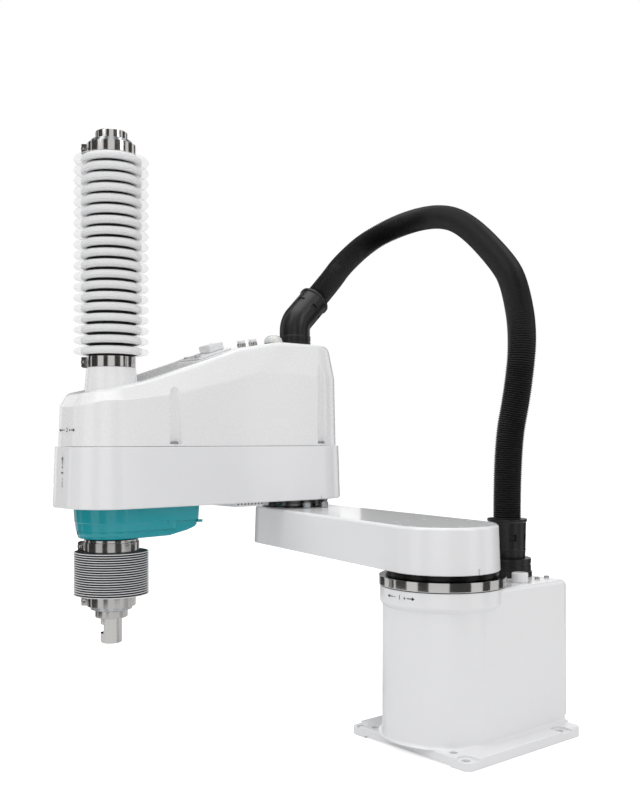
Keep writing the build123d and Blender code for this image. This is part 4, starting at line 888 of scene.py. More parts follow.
@dataclass
class SecondArm:
    """The upper arm: band casting, tall cover, joint disc and the teal spindle housing."""

    layout: Layout
    half: float = 61.0
    nose_x: float = 287.5
    nose_corner: float = 50.0
    band_draft: float = 2.4
    cover_inset: float = 6.0
    cover_draft: float = 1.9
    crease_level: float = 405.0
    bevel: float = 11.0
    seam: float = 0.5
    spindle_bore: tuple[float, float] = (24.4, 14.2)
    groove_places: Profile = ((221.0, 378.0), (-3.0, 431.0))
    groove_side: float = 58.5
    stations: tuple[float, ...] = (57.0, 92.0, 122.0, 147.0, 190.0, 230.0, 256.0, 283.0, 308.0, 322.0)
    top_line: Profile = ((57.0, 446.0), (122.0, 434.0), (256.0, 388.5), (300.0, 377.0), (312.0, 375.5),
                         (339.0, 369.0))
    crease_line: Profile = ((92.0, 403.0), (147.0, 388.6), (190.0, 379.0), (230.0, 372.0), (283.0, 365.0),
                            (308.0, 364.5), (339.0, 355.0))
    reducer_radius: float = 44.4
    housing_radius: float = 43.2
    housing_rear: float = -96.0
    slab_low: float = 225.0
    ledge_low: float = 216.0
    housing_low: float = 207.0
    fairing_stations: tuple[float, ...] = (-88.0, -80.0, -72.0, -64.0, -56.0)
    fairing_line: Profile = ((-105.0, 224.0), (-94.0, 217.6), (-80.0, 213.0), (-65.0, 210.0), (-53.0, 207.4),
                             (-45.0, 207.0))
    slit_turn: float = 79.0

    def build(self) -> None:
        """Build every piece of the second arm's shell."""
        self.build_band()
        self.build_cover()
        self.build_joint()
        self.build_housing()

    def plan(self, inset: float) -> Callable[[Vector], Vector]:
        """Give the arm's outline, moved inward by an inset."""
        nose = (self.nose_x, self.half - self.nose_corner, self.nose_corner - inset)
        return pulled(nose, (0.0, 0.0, self.half - inset))

    def build_band(self) -> None:
        """Cast band at the arm's foot, with its stop lug and the spindle's bore."""
        low, top = self.layout.arm_2_bottom, self.layout.band_top
        edge = 1.4
        steps = [(-edge, edge), (self.band_draft, top - low - edge - 0.4), (0.4, 0.4)]
        bm = raised(self.half, self.plan(edge), low, steps, 128)
        bore = rod(self.spindle_bore[0], low - PAST, low + 40.0, self.layout.arm_2_length, 0.0, 64)
        tick = block((3.4, self.half - 2.2, low - PAST), (5.0, self.half + PAST, low + 3.5))
        cutters = [placed(cutter, self.layout.on_arm_2) for cutter in (bore, tick)]
        piece(placed(bm, self.layout.on_arm_2), "upper_arm_band", Body.ARM_2, ENAMEL,
              replaces=["arm_2_casting"], cutters=cutters)
        lug = block((52.0, -11.0, low - 8.0), (62.0, 11.0, low + 1.0), 1.0)
        piece(placed(lug, self.layout.on_arm_2), "stop_lug", Body.ARM_2, ENAMEL)

    def level_on(self, line: Profile, x: float) -> float:
        """Read a height off a line of (x, height) points."""
        if x <= line[0][0]:
            return line[0][1]
        for (x_low, z_low), (x_high, z_high) in zip(line, line[1:]):
            if x <= x_high:
                return z_low + (z_high - z_low) * (x - x_low) / (x_high - x_low)
        return line[-1][1]

    def build_cover(self) -> None:
        """Tall cover: walls, steep bevels and a roof that falls towards the spindle."""
        low, top = self.layout.band_top, self.layout.cover_top
        seam = self.seam
        walls = self.crease_level - low - seam
        steps = [(self.cover_draft * 0.55, walls * 0.5), (self.cover_draft * 0.45, walls * 0.5)]
        rise = top - self.crease_level
        steps += [(1.2, 5.0), (self.bevel - 5.0, rise - 12.0), (1.8, 3.6), (2.4, 2.2), (3.2, 1.2)]
        bm = raised(self.half, self.plan(self.cover_inset), low + seam, steps, 128)
        sliced(bm, self.stations)
        for vert in bm.verts:
            x, z = vert.co.x, vert.co.z
            crease = self.level_on(self.crease_line, x)
            roof = self.level_on(self.top_line, x)
            if z > self.crease_level:
                share = (z - self.crease_level) / (top - self.crease_level)
                vert.co.z = crease + share * (roof - crease)
            elif z > low + 1.0:
                vert.co.z = low + (z - low) * (crease - low) / (self.crease_level - low)
        cutters = [self.groove(x, side, ceiling) for x, ceiling in self.groove_places for side in (-1, 1)]
        cutters.append(rod(self.spindle_bore[1], low - PAST, top, self.layout.arm_2_length, 0.0, 48))
        for cutter in cutters:
            placed(cutter, self.layout.on_arm_2)
        piece(placed(bm, self.layout.on_arm_2), "upper_arm_cover", Body.ARM_2, COVER_WHITE,
              replaces=["arm_2_cover"], cutters=cutters, crease=17.0)

    def groove(self, x: float, side: int, ceiling: float) -> bmesh.types.BMesh:
        """Cutter for one screw groove.

        Args:
            x: Distance from the second joint.
            side: Which side of the arm.
            ceiling: Height of its arched top.

        Returns:
            A post with a domed top.
        """
        low = self.layout.band_top + 3.1
        profile = [(0.0, low), (9.3, low), (9.3, ceiling), (8.0, ceiling + 4.6), (4.7, ceiling + 8.0),
                   (0.0, ceiling + 9.3)]
        return placed(turned(profile, 0.0, 40), Matrix.Translation((x, side * self.groove_side, 0)))

    def build_joint(self) -> None:
        """Dark disc of the second joint's reducer between the two arms."""
        low, top = self.layout.arm_1_top + 0.6, self.layout.arm_2_bottom
        r = self.reducer_radius
        profile = [(0.0, 190.2), (29.9, 190.2), (29.9, low), (r - 1.0, low), (r, low + 1.0), (r, low + 4.6),
                   (r - 0.8, low + 4.9), (r - 0.8, low + 6.0), (r, low + 6.3), (r, top), (0.0, top)]
        bm = placed(turned(profile, 0.3, 96), self.layout.on_arm_2)
        piece(bm, "joint_disc", Body.ARM_2, GUNMETAL, replaces=["j2_reducer"])

    def build_housing(self) -> None:
        """Teal housing: slab, front boss and the fairing that rises to the rear."""
        top = self.layout.arm_2_bottom
        r = self.housing_radius
        rear = self.housing_rear
        slab_steps = [(-0.6, 0.8), (-0.3, 5.0), (-0.9, top - self.slab_low - 5.8)]
        slab_shape = pulled((0.0, 0.0, r - 1.8), (rear + 7.0, r - 8.8, 7.0))
        slab = raised(r, slab_shape, self.slab_low, slab_steps, 96)
        ledge_shape = pulled((0.0, 0.0, 40.4), (-58.0, 30.4, 10.0))
        ledge = raised(r, ledge_shape, self.ledge_low, [(-0.4, 4.0), (-0.6, 5.4)], 96)
        low = self.housing_low
        fairing_shape = pulled((0.0, 0.0, 37.0), (rear + 8.0, 29.0, 8.0))
        fairing = raised(r, fairing_shape, low, [(-1.2, 1.2), (-0.8, 17.0)], 96)
        sliced(fairing, self.fairing_stations)
        for vert in fairing.verts:
            if vert.co.z < low + 2.0:
                vert.co.z += self.level_on(self.fairing_line, vert.co.x) - low
        boss = [(18.0, low), (31.0, low), (36.6, 208.2), (38.9, 210.6), (39.6, 213.5), (39.8, 226.0),
                (18.0, 226.0), (18.0, low)]
        whole = joined([slab, ledge, fairing, turned(boss, 0.6, 96)])
        # A dark block in the slit of the housing: painted shade of the opening
        slit = placed(block((-0.5, -39.95, 211.5), (0.5, -38.6, 221.0)), rotation(self.slit_turn))
        bore, neck_low, neck_top = 18.4, 192.2, 207.6
        neck = [(bore, neck_low), (28.0, neck_low), (28.0, neck_top), (bore, neck_top), (bore, neck_low)]
        here = self.layout.on_spindle
        piece(placed(whole, here), "spindle_housing_shell", Body.ARM_2, TEAL, replaces=["spindle_housing"])
        piece(placed(slit, here), "housing_slit_painted_shade", Body.ARM_2, PAINTED_SHADE)
        # Dark ring in the crease between the neck ring and the housing: painted shade
        dark = [(28.2, 205.2), (29.4, 205.2), (29.4, 207.4), (28.2, 207.4), (28.2, 205.2)]
        sleeve = joined([turned(neck, 0.3, 72), turned(dark, 0.2, 72)])
        piece(placed(sleeve, here), "housing_neck", Body.ARM_2, BLACK_OXIDE)


@dataclass
class Spindle:
    """Cone, bellows, clamps, shaft and collars on the spindle's axis."""

    layout: Layout
    shaft_radius: float = 12.5
    shaft_bore: float = 5.5
    shaft_ends: tuple[float, float] = (84.4, 677.0)
    shaft_chamfer: float = 1.0
    flat: Point = (9.0, 95.6, 106.0)
    flat_turn: float = -28.0
    running_bore: float = 12.6
    collar_low: float = 114.1
    neck_radius: float = 24.0
    sleeve_ends: tuple[float, float] = (123.6, 668.3)
    cuff_radius: float = 26.1
    cuff_height: float = 12.0
    clamp_height: float = 12.5
    clamp_turn: float = -38.0
    bellows_radius: float = 43.1
    root_radius: float = 25.6
    # Depth of the painted shade at the roots of the long bellows' folds
    painted_shade_depth: float = 2.4
    short_root: float = 33.0
    milky_radius: float = 35.0
    pleats: int = 19
    upper: tuple[float, float] = (417.0, 651.5)
    lower: tuple[float, float] = (140.1, 191.6)
    stroke: float = 180.0

    def build(self) -> None:
        """Build every piece on the spindle's axis."""
        self.build_cone()
        self.build_shaft()
        self.build_heads()
        self.build_clamps()
        self.build_upper_bellows()
        self.build_lower_bellows()

    def at_axis(self, bm: bmesh.types.BMesh) -> bmesh.types.BMesh:
        """Move a mesh onto the spindle's axis."""
        return placed(bm, self.layout.on_spindle)

    def build_cone(self) -> None:
        """White cone that stands on the cover, with a thin seam at its foot."""
        low = self.layout.cover_nose_top - 3.0
        bore, neck, top = 14.2, self.neck_radius, 416.7
        profile = [(bore, low), (31.2, low), (28.4, 403.6), (27.6, 404.5), (neck, 404.5), (neck, top),
                   (bore, top), (bore, low)]
        piece(self.at_axis(turned(profile, 0.5, 96)), "spindle_collar_cone", Body.ARM_2, COVER_WHITE,
              replaces=["spindle_cone"])
        ring = [(28.25, 202.4), (31.1, 202.4), (31.1, 205.2), (28.25, 205.2), (28.25, 202.4)]
        piece(self.at_axis(turned(ring, 0.3, 96)), "neck_ring", Body.ARM_2, POLISHED,
              replaces=["housing_neck_ring"])

    def build_shaft(self) -> None:
        """Ground shaft with its tool flat, cap collar and split lower collar."""
        bore, outer, edge = self.shaft_bore, self.shaft_radius, self.shaft_chamfer
        foot, head = self.shaft_ends
        shaft = [(bore, foot), (outer - edge, foot), (outer, foot + edge), (outer, head - edge),
                 (outer - edge, head), (bore, head), (bore, foot)]
        depth, flat_low, flat_top = self.flat
        flat = block((depth, -outer, flat_low), (outer + PAST, outer, flat_top))
        placed(flat, self.layout.on_spindle @ rotation(self.flat_turn))
        piece(self.at_axis(turned(shaft, 0.2, 72)), "tool_shaft", Body.SPINDLE, POLISHED,
              replaces=["z_shaft"], cutters=[flat])
        inner = self.running_bore
        cap = [(inner, 668.6), (17.8, 668.6), (18.6, 669.4), (18.6, 678.2), (17.8, 679.0), (8.0, 679.0),
               (8.0, 677.4), (inner, 677.4), (inner, 668.6)]
        piece(self.at_axis(turned(cap, 0.3, 72)), "shaft_cap", Body.SPINDLE, TURNED,
              replaces=["shaft_top_collar"])
        low = self.collar_low
        top = low + 9.2
        split = [(inner, low), (18.2, low), (19.0, low + 0.8), (19.0, low + 8.4), (18.2, top), (inner, top),
                 (inner, low)]
        facing = self.layout.on_spindle @ rotation(self.clamp_turn)
        slit = placed(block((10.0, -0.8, low - 1), (20.0, 0.8, low + 10)), facing)
        across = facing @ Matrix.Translation((15.6, -9.0, low + 4.6)) @ rotation(-90, "X")
        screw = placed(rod(2.3, -30.0, 0.0, 0.0, 0.0, 20), across)
        piece(self.at_axis(turned(split, 0.3, 72)), "split_collar", Body.SPINDLE, TURNED,
              replaces=["shaft_lower_collar"], cutters=[slit, screw])

    def build_heads(self) -> None:
        """Sleeves that carry the bellows on the shaft."""
        inner, outer = self.running_bore, self.neck_radius
        rows = (("upper_sleeve", self.upper[1], self.sleeve_ends[1], "upper_head"),
                ("lower_sleeve", self.sleeve_ends[0], self.lower[0], "lower_head"))
        for name, low, high, node in rows:
            profile = [(inner, low), (outer, low), (outer, high), (inner, high), (inner, low)]
            piece(self.at_axis(turned(profile, 0.4, 72)), name, Body.SLIDER, MILLED, replaces=[node])

    def clamp(self, neck: float, low: float, height: float) -> bmesh.types.BMesh:
        """Hose clamp with a bored screw block.

        Args:
            neck: Radius of the neck that it closes on.
            low: Its lower edge.
            height: Its height.

        Returns:
            The clamp on the spindle's own axis.
        """
        inner = neck + 2.4
        outer = inner + 1.8
        high = low + height - 0.3
        band = [(inner, low), (outer, low), (outer, high), (inner, high), (inner, low)]
        reach = outer + 5.5
        lug = block((outer - 1.2, -7.0, low + 0.2), (reach, -0.9, high - 0.2), 0.5)
        other = block((outer - 1.2, 0.9, low + 0.2), (reach, 7.0, high - 0.2), 0.5)
        middle = (low + high) / 2
        screw = turned([(0.0, 0.0), (3.4, 0.0), (3.4, 1.6), (1.7, 1.6), (1.7, 0.6), (0.0, 0.6)], 0.15, 24)
        side = Matrix.Translation((reach - 3.4, 6.8, middle)) @ rotation(-90, "X")
        shank = rod(1.7, -7.0, 7.0, 0.0, 0.0, 20)
        across = Matrix.Translation((reach - 3.4, 0.0, middle)) @ rotation(90, "X")
        whole = joined([turned(band, 0.3, 96), lug, other, placed(screw, side), placed(shank, across)])
        return placed(whole, rotation(self.clamp_turn))

    def build_clamps(self) -> None:
        """The four clamps that close the bellows' ends."""
        tall, neck = self.clamp_height, self.neck_radius
        rows = (("cone_clamp", Body.ARM_2, "upper_clamp_fixed", neck, 404.5, tall),
                ("neck_clamp", Body.ARM_2, "lower_clamp_fixed", 28.0, self.lower[1], 10.8),
                ("top_clamp", Body.SLIDER, "upper_clamp_moving", neck, self.upper[1] + 0.3, tall),
                ("bottom_clamp", Body.SLIDER, "lower_clamp_moving", neck, self.lower[0] - tall, tall))
        for name, body, node, radius, low, height in rows:
            piece(self.at_axis(self.clamp(radius, low, height)), name, body, TURNED, replaces=[node])

    def pleated(self, low: float, high: float, lips: Profile) -> list[tuple[float, float]]:
        """Profile of a pleated tube.

        Args:
            low: Height of its lower end.
            high: Height of its upper end.
            lips: Points of one pleat as (radius, share of the pitch).

        Returns:
            The whole outer profile from bottom to top.
        """
        pitch = (high - low) / self.pleats
        line = []
        for index in range(self.pleats):
            line += [(radius, low + (index + share) * pitch) for radius, share in lips]
        return line

    def build_upper_bellows(self) -> None:
        """Long bellows: milky folds, clear lips and roots painted dark as shade."""
        low, high = self.upper
        tip = self.bellows_radius
        root = self.root_radius
        milk = self.milky_radius
        lips = ((root, 0.0), (root, 0.15), (milk - 6.0, 0.17), (milk - 2.4, 0.22), (milk - 0.6, 0.32),
                (milk, 0.44), (milk, 0.6), (milk - 0.6, 0.74), (milk - 2.4, 0.85), (milk - 6.0, 0.91),
                (root, 0.93))
        outer = self.pleated(low, high, lips) + [(root, high)]
        cuff, tall = self.cuff_radius, self.cuff_height
        cuff_low = [(cuff, low - tall), (cuff, low - 0.2)]
        cuff_high = [(cuff, high + 0.2), (cuff, high + tall)]
        folds = turned(cuff_low + outer + cuff_high, 0.0, 96)
        # Faces deep at the roots get the painted shade, a black that stands for the shade in each fold
        self.tint(folds, root + self.painted_shade_depth, tip)
        inner = milk - 0.4
        pitch = (high - low) / self.pleats
        rims = []
        for index in range(self.pleats):
            level = low + (index + 0.5) * pitch
            shares = ((inner, -0.36), (milk + 3.0, -0.3), (tip - 1.2, -0.18), (tip, 0.0), (tip - 1.2, 0.18),
                      (milk + 3.0, 0.3), (inner, 0.36), (inner, -0.36))
            rim = turned([(radius, level + share * pitch) for radius, share in shares], 0.0, 96)
            self.tint(rim, 0.0, 1.0)
            rims.append(rim)
        bm = joined([folds, *rims])
        made = piece(self.at_axis(bm), "long_bellows", Body.ARM_2, SILICONE, replaces=["upper_bellows"],
                     extra=[CLEAR_SILICONE, PAINTED_SHADE], crease=75.0)
        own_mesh(made)

    def tint(self, bm: bmesh.types.BMesh, dark: float, clear: float) -> None:
        """Give faces their material by distance from the axis.

        Args:
            bm: The bellows on its own axis.
            dark: Faces whose centre is nearer than this get the painted shade.
            clear: Faces whose centre is further than this are clear.
        """
        for face in bm.faces:
            reach = face_reach(face)
            if reach > clear:
                face.material_index = 1
            elif reach < dark:
                face.material_index = 2

    def build_lower_bellows(self) -> None:
        """Short bellows: closed pleats with pale edges and painted shade in the gaps between them."""
        low, high = self.lower
        tip = self.bellows_radius
        root = self.short_root
        lips = ((root, 0.0), (tip - 1.6, 0.3), (tip, 0.42), (tip, 0.58), (tip - 1.6, 0.7))
        outer = [(root, low)] + self.pleated(low, high, lips)[1:] + [(root, high)]
        cuff = [(self.cuff_radius, low - self.cuff_height), (self.cuff_radius, low - 0.2)]
        line = cuff + outer + [(30.4, high), (30.4, high + 10.3)]
        bm = turned(line, 0.0, 96)
        # Faces back from the pleats' edges get the painted shade of the narrow gaps between the closed
        # pleats
        for face in bm.faces:
            face.material_index = 0 if face_reach(face) > tip - 1.3 else 1
        made = piece(self.at_axis(bm), "short_bellows", None, SILICONE, replaces=["lower_bellows"],
                     extra=[PAINTED_SHADE], crease=75.0)
        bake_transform(made)


@dataclass
class CoverFittings:
    """Elbow connector, lamp, air fittings and user socket on the cover."""

    layout: Layout
    elbow_radius: float = 20.4
    bend_radius: float = 24.0
    bend_height: float = 31.5
    bend_angle: float = 45.0
    bend_count: int = 8
    reach: float = 49.0
    collar_height: float = 14.5
    window_turn: float = 20.0
    lamp: tuple[float, float] = (52.0, 20.0)
    ports: tuple[tuple[float, float], ...] = ((86.0, -3.0), (86.0, 22.0))
    upper_slope: Point = (57.0, 65.0, 12.0)
    lower_slope: Point = (122.0, 134.0, 45.0)
    socket_x: float = 100.0

    def build(self) -> None:
        """Build every fitting on the cover."""
        self.build_elbow()
        self.build_lamp()
        self.build_ports()
        self.build_socket()

    def build_elbow(self) -> None:
        """Collar, bent body and windowed sleeve of the angled hose connector."""
        top = self.layout.cover_top
        foot = self.collar_height
        collar = [(13.5, 0), (20.4, 0), (21.2, 0.8), (21.2, 6.0), (20.7, 6.2), (20.7, 7.4), (21.2, 7.6),
                  (21.2, 13.6), (20.4, foot), (13.5, foot), (13.5, 0)]
        here = self.layout.on_arm_2 @ Matrix.Translation((0, 0, top))
        piece(placed(turned(collar, 0.4, 64), here), "elbow_collar", Body.ARM_2, NYLON,
              replaces=["hose_elbow_collar"])
        tangent = self.bend_radius * math.tan(math.radians(self.bend_angle / 2))
        start = self.bend_height - tangent
        bm = bmesh.new()
        bmesh.ops.create_circle(bm, cap_ends=False, segments=64, radius=self.elbow_radius,
                                matrix=Matrix.Translation((0, 0, foot)))
        last = drawn(bm, bm.edges[:], Matrix.Translation((0, 0, start - foot)))
        pivot = Vector((-self.bend_radius, 0, start))
        bend = rotation(-self.bend_angle / self.bend_count, "Y")
        for _ in range(self.bend_count):
            last = drawn(bm, last, Matrix.Translation(pivot) @ bend @ Matrix.Translation(-pivot))
        way = HALF_WAY_UP
        run = self.reach - tangent
        for length, scale in ((run - 4.0, 1.0), (1.0, 1.07), (2.6, 1.0), (0.4, 0.98)):
            middle = sum((vert.co for edge in last for vert in edge.verts), Vector()) / (2 * len(last))
            grow = Matrix.Scale(scale, 4) @ Matrix.Translation(-middle)
            last = drawn(bm, last, Matrix.Translation(middle + way * length) @ grow)
        closed(bm)
        windows = []
        lead = here @ Matrix.Translation((0, 0, self.bend_height)) @ rotation(-self.bend_angle, "Y")
        for index in range(WINDOW_COUNT):
            window = block((18.8, -4.2, 24.0), (24.0, 4.2, 31.0))
            turn = self.window_turn + index * 360 / WINDOW_COUNT
            windows.append(placed(window, lead @ rotation(turn)))
        piece(placed(bm, here), "elbow_connector", Body.ARM_2, NYLON, replaces=["hose_elbow"],
              cutters=windows)

    def build_lamp(self) -> None:
        """Frosted dome of the signal lamp on its low foot."""
        x, y = self.lamp
        top = self.layout.cover_top
        foot, wide, rise = 2.0, 11.9, 9.0
        dome = [(wide * math.cos(angle), foot + rise * math.sin(angle))
                for angle in map(math.radians, range(6, 90, 12))]
        profile = [(0.0, 0.0), (12.0, 0.0), (12.0, foot), *dome, (0.0, foot + rise)]
        here = self.layout.on_arm_2 @ Matrix.Translation((x, y, top))
        piece(placed(turned(profile, 0.0, 48), here), "signal_lamp", Body.ARM_2, LENS,
              replaces=["indicator_lamp"], crease=60.0)

    def build_ports(self) -> None:
        """Push-in air fittings: pale release rings on nickel bodies."""
        start, run, fall = self.upper_slope
        body = [(0.0, -1.0), (5.5, -1.0), (5.5, 4.6), (5.0, 5.0), (0.0, 5.0)]
        ring = [(2.6, 5.0), (4.6, 5.0), (4.6, 6.4), (5.3, 6.6), (5.3, 8.1), (4.9, 8.5), (3.4, 8.5),
                (2.6, 7.6), (2.6, 5.0)]
        bodies, rings = [], []
        for x, y in self.ports:
            height = self.layout.cover_top - (x - start) * fall / run
            here = (self.layout.on_arm_2 @ Matrix.Translation((x, y, height))
                    @ Matrix.Rotation(math.atan2(fall, run), 4, "Y"))
            bodies.append(placed(turned(body, 0.2, 32), here))
            rings.append(placed(turned(ring, 0.2, 32), here))
        piece(joined(bodies), "air_fitting_bodies", Body.ARM_2, NICKEL, replaces=["cover_air_ports"])
        piece(joined(rings), "air_fitting_rings", Body.ARM_2, COVER_WHITE)

    def build_socket(self) -> None:
        """User connector: a thin plate, a ribbed block and two screws on the slope."""
        start, run, fall = self.lower_slope
        height = self.layout.cover_top - self.upper_slope[2] - (self.socket_x - start) * fall / run
        here = (self.layout.on_arm_2 @ Matrix.Translation((self.socket_x, 0, height))
                @ Matrix.Rotation(math.atan2(fall, run), 4, "Y"))
        plate = block((23.0, -25.0, 0.0), (73.0, 25.0, 2.0), 0.6)
        shell = block((24.0, -12.0, 2.0), (46.0, 12.0, 11.0), 1.2)
        ribs = [block((25.0 + 3.0 * row, -12.6, 3.0), (26.2 + 3.0 * row, 12.6, 10.0)) for row in range(7)]
        head = [(0.0, 2.0), (2.8, 2.0), (2.8, 3.4), (2.2, 4.0), (0.0, 4.0)]
        heads = [placed(turned(head, 0.2, 24), Matrix.Translation((67.4, side * 12.5, 0)))
                 for side in (-1, 1)]
        piece(placed(joined([plate, shell, *ribs]), here), "user_connector", Body.ARM_2, COVER_WHITE,
              replaces=["user_socket"])
        piece(placed(joined(heads), here), "user_connector_screws", Body.ARM_2, ZINC)


@dataclass
class Hose:
    """Corrugated conduit from the base over both joints to the elbow, in two lengths."""

    layout: Layout
    radius: float = 16.1
    valley: float = 14.7
    pitch: float = 2.5
    segments: int = 28
    start: Point = (-108.0, 0.0, 232.0)
    rise: float = 80.0
    bends_lower: tuple[Point, ...] = ((-113.0, 11.0, 374.0), (-116.0, 17.0, 439.0), (-131.0, -6.0, 496.0),
                                      (-152.0, -38.0, 530.0))
    bends_upper: tuple[Point, ...] = ((-206.0, -143.0, 602.0), (-231.0, -211.0, 631.0),
                                      (-228.0, -273.0, 633.0), (-199.0, -323.0, 611.0),
                                      (-152.0, -331.0, 570.0))
    drop: float = 41.0
    elbow_legs: tuple[float, float] = (31.5, 49.0)

    def build(self) -> None:
        middle = (Vector(self.bends_lower[-1]) + Vector(self.bends_upper[0])) / 2
        base = Vector(self.start)
        away = HALF_WAY_UP
        bend, reach = self.elbow_legs
        rim = self.layout.elbow + Vector((0, 0, self.layout.cover_top + bend)) + away * reach
        lower = [base, base + Vector((0, 0, self.rise)), *map(Vector, self.bends_lower), middle]
        upper = [rim, rim + away * self.drop, *map(Vector, reversed(self.bends_upper)), middle]
        self.build_length(lower, "conduit_lower", "hose_lower")
        self.build_length(upper, "conduit_upper", "hose_upper")

    def stations(self, route: Sequence[Vector], name: str) -> list[Vector]:
        """Read evenly spaced points from the route's smooth spline.

        Args:
            route: Control points in millimetres.
            name: Name for the spline while it is read.

        Returns:
            Points in metres, half a ridge apart.
        """
        curve = bpy.data.curves.new(name, "CURVE")
        curve.dimensions = "3D"
        spline = curve.splines.new("NURBS")
        spline.points.add(len(route) - 1)
        for point, place in zip(spline.points, route):
            point.co = (*(place * MM), 1.0)
        spline.order_u = 3
        spline.use_endpoint_u = True
        curve.resolution_u = 32
        holder = linked(name, curve)
        mesh = final_mesh(holder)
        line = [vert.co.copy() for vert in mesh.vertices]
        bpy.data.meshes.remove(mesh)
        bpy.data.objects.remove(holder)
        bpy.data.curves.remove(curve)
        spans = [(b - a).length for a, b in zip(line, line[1:])]
        total = sum(spans)
        count = round(total / (self.pitch * MM / 2) / 2) * 2
        points, index, passed = [], 0, 0.0
        for step in range(count + 1):
            goal = min(total * step / count, total - 1e-9)
            while passed + spans[index] < goal:
                passed += spans[index]
                index += 1
            share = (goal - passed) / spans[index]
            points.append(line[index].lerp(line[index + 1], share))
        return points

    def build_length(self, route: Sequence[Vector], name: str, node: str) -> None:
        """Build one length of ridged hose.

        Args:
            route: Control points in millimetres.
            name: Name of the piece.
            node: CAD node that it stands for.
        """
        points = self.stations(route, name)
        bm = bmesh.new()
        ways = [(b - a).normalized() for a, b in zip(points, points[1:])]
        ways.append(ways[-1])
        turn = ways[0].to_track_quat("Z", "Y")
        bmesh.ops.create_circle(bm, cap_ends=False, segments=self.segments, radius=self.radius * MM,
                                matrix=Matrix.Translation(points[0]) @ turn.to_matrix().to_4x4())
        edges = bm.edges[:]
        for index, (here, way) in enumerate(zip(points[1:], ways[1:]), 1):
            bend = ways[index - 1].rotation_difference(way).to_matrix().to_4x4()
            wide = self.radius if index % 2 == 0 else self.valley
            last = self.valley if index % 2 == 0 else self.radius
            move = (Matrix.Translation(here) @ bend @ Matrix.Scale(wide / last, 4)
                    @ Matrix.Translation(-points[index - 1]))
            edges = drawn(bm, edges, move)
        placed(closed(bm), Matrix.Scale(1 / MM, 4))
        made = piece(bm, name, None, CONDUIT, replaces=[node], crease=80.0)
        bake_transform(made)


@dataclass
class Markings:
    """Plain printed arrows with the joints' numbers."""

    layout: Layout
    collar_radius: float = 66.4
    height: float = 4.6
    lift: float = 0.12
    film: float = 0.08
    collar_turn: float = 2.0
    collar_level: float = 160.0
    cover_place: Point = (331.0, 0.0, 331.5)
    band_place: Point = (336.6, 0.0, 283.0)

    def build(self) -> None:
        """Print the arrows on the collar, the cover's nose and the band's nose."""
        collar = self.arrow_row("1")
        for vert in collar.verts:
            turn = math.radians(self.collar_turn) + vert.co.x / self.collar_radius
            reach = self.collar_radius + self.lift + vert.co.z
            level = self.collar_level + vert.co.y
            vert.co = Vector((reach * math.cos(turn), reach * math.sin(turn), level))
        piece(collar, "collar_arrow", Body.BASE, INK)
        front = self.layout.on_arm_2 @ Matrix.Translation(self.cover_place) @ self.facing_front()
        piece(placed(self.arrow_row("2"), front), "cover_arrow", Body.ARM_2, INK)
        band = (self.layout.on_arm_2 @ Matrix.Translation(self.band_place) @ self.facing_front()
                @ rotation(90))
        piece(placed(self.arrow_row("3"), band), "band_arrow", Body.ARM_2, INK)

    def facing_front(self) -> Matrix:
        """Turn a flat row of print to face along +X."""
        return rotation(90) @ rotation(90, "X")

    def arrow_row(self, number: str) -> bmesh.types.BMesh:
        """Draw a double arrow with a minus, a number and a plus.

        Args:
            number: The joint's number.

        Returns:
            The row, lying flat and centred.
        """
        upright = placed(self.bar(-1.4, 1.4, 0.3), Matrix.Translation((6.6, 0, 0)) @ rotation(90))
        parts = [self.bar(-15.5, -9.5, 0.45), self.bar(-8.2, -5.8, 0.3), self.bar(5.2, 8.0, 0.3),
                 self.bar(9.5, 15.5, 0.45), upright]
        for side in (-1, 1):
            head = bmesh.new()
            bmesh.ops.create_cone(head, cap_ends=True, segments=3, radius1=2.2, radius2=2.2, depth=self.film)
            point = Matrix.Translation((side * 16.5, 0, self.film / 2)) @ rotation(-90 * side)
            parts.append(placed(head, point))
        parts.append(self.digit(number))
        return joined(parts)

    def bar(self, start: float, end: float, half: float) -> bmesh.types.BMesh:
        """Draw a thin bar along the row."""
        return block((start, -half, 0.0), (end, half, self.film))

    def digit(self, number: str) -> bmesh.types.BMesh:
        """Draw one digit in the plain built-in typeface.

        Args:
            number: The digit.

        Returns:
            The digit as a thin mesh, centred.
        """
        text = bpy.data.curves.new("digit", "FONT")
        text.body = number
        text.size = self.height * 1.5
        text.align_x = "CENTER"
        text.align_y = "CENTER"
        text.extrude = self.film / 2
        holder = linked("digit", text)
        mesh = final_mesh(holder)
        bm = bmesh.new()
        bm.from_mesh(mesh)
        bpy.data.objects.remove(holder)
        bpy.data.curves.remove(text)
        bpy.data.meshes.remove(mesh)
        bmesh.ops.remove_doubles(bm, verts=bm.verts[:], dist=0.001)
        return placed(bm, Matrix.Translation((0, 0, self.film / 2)))


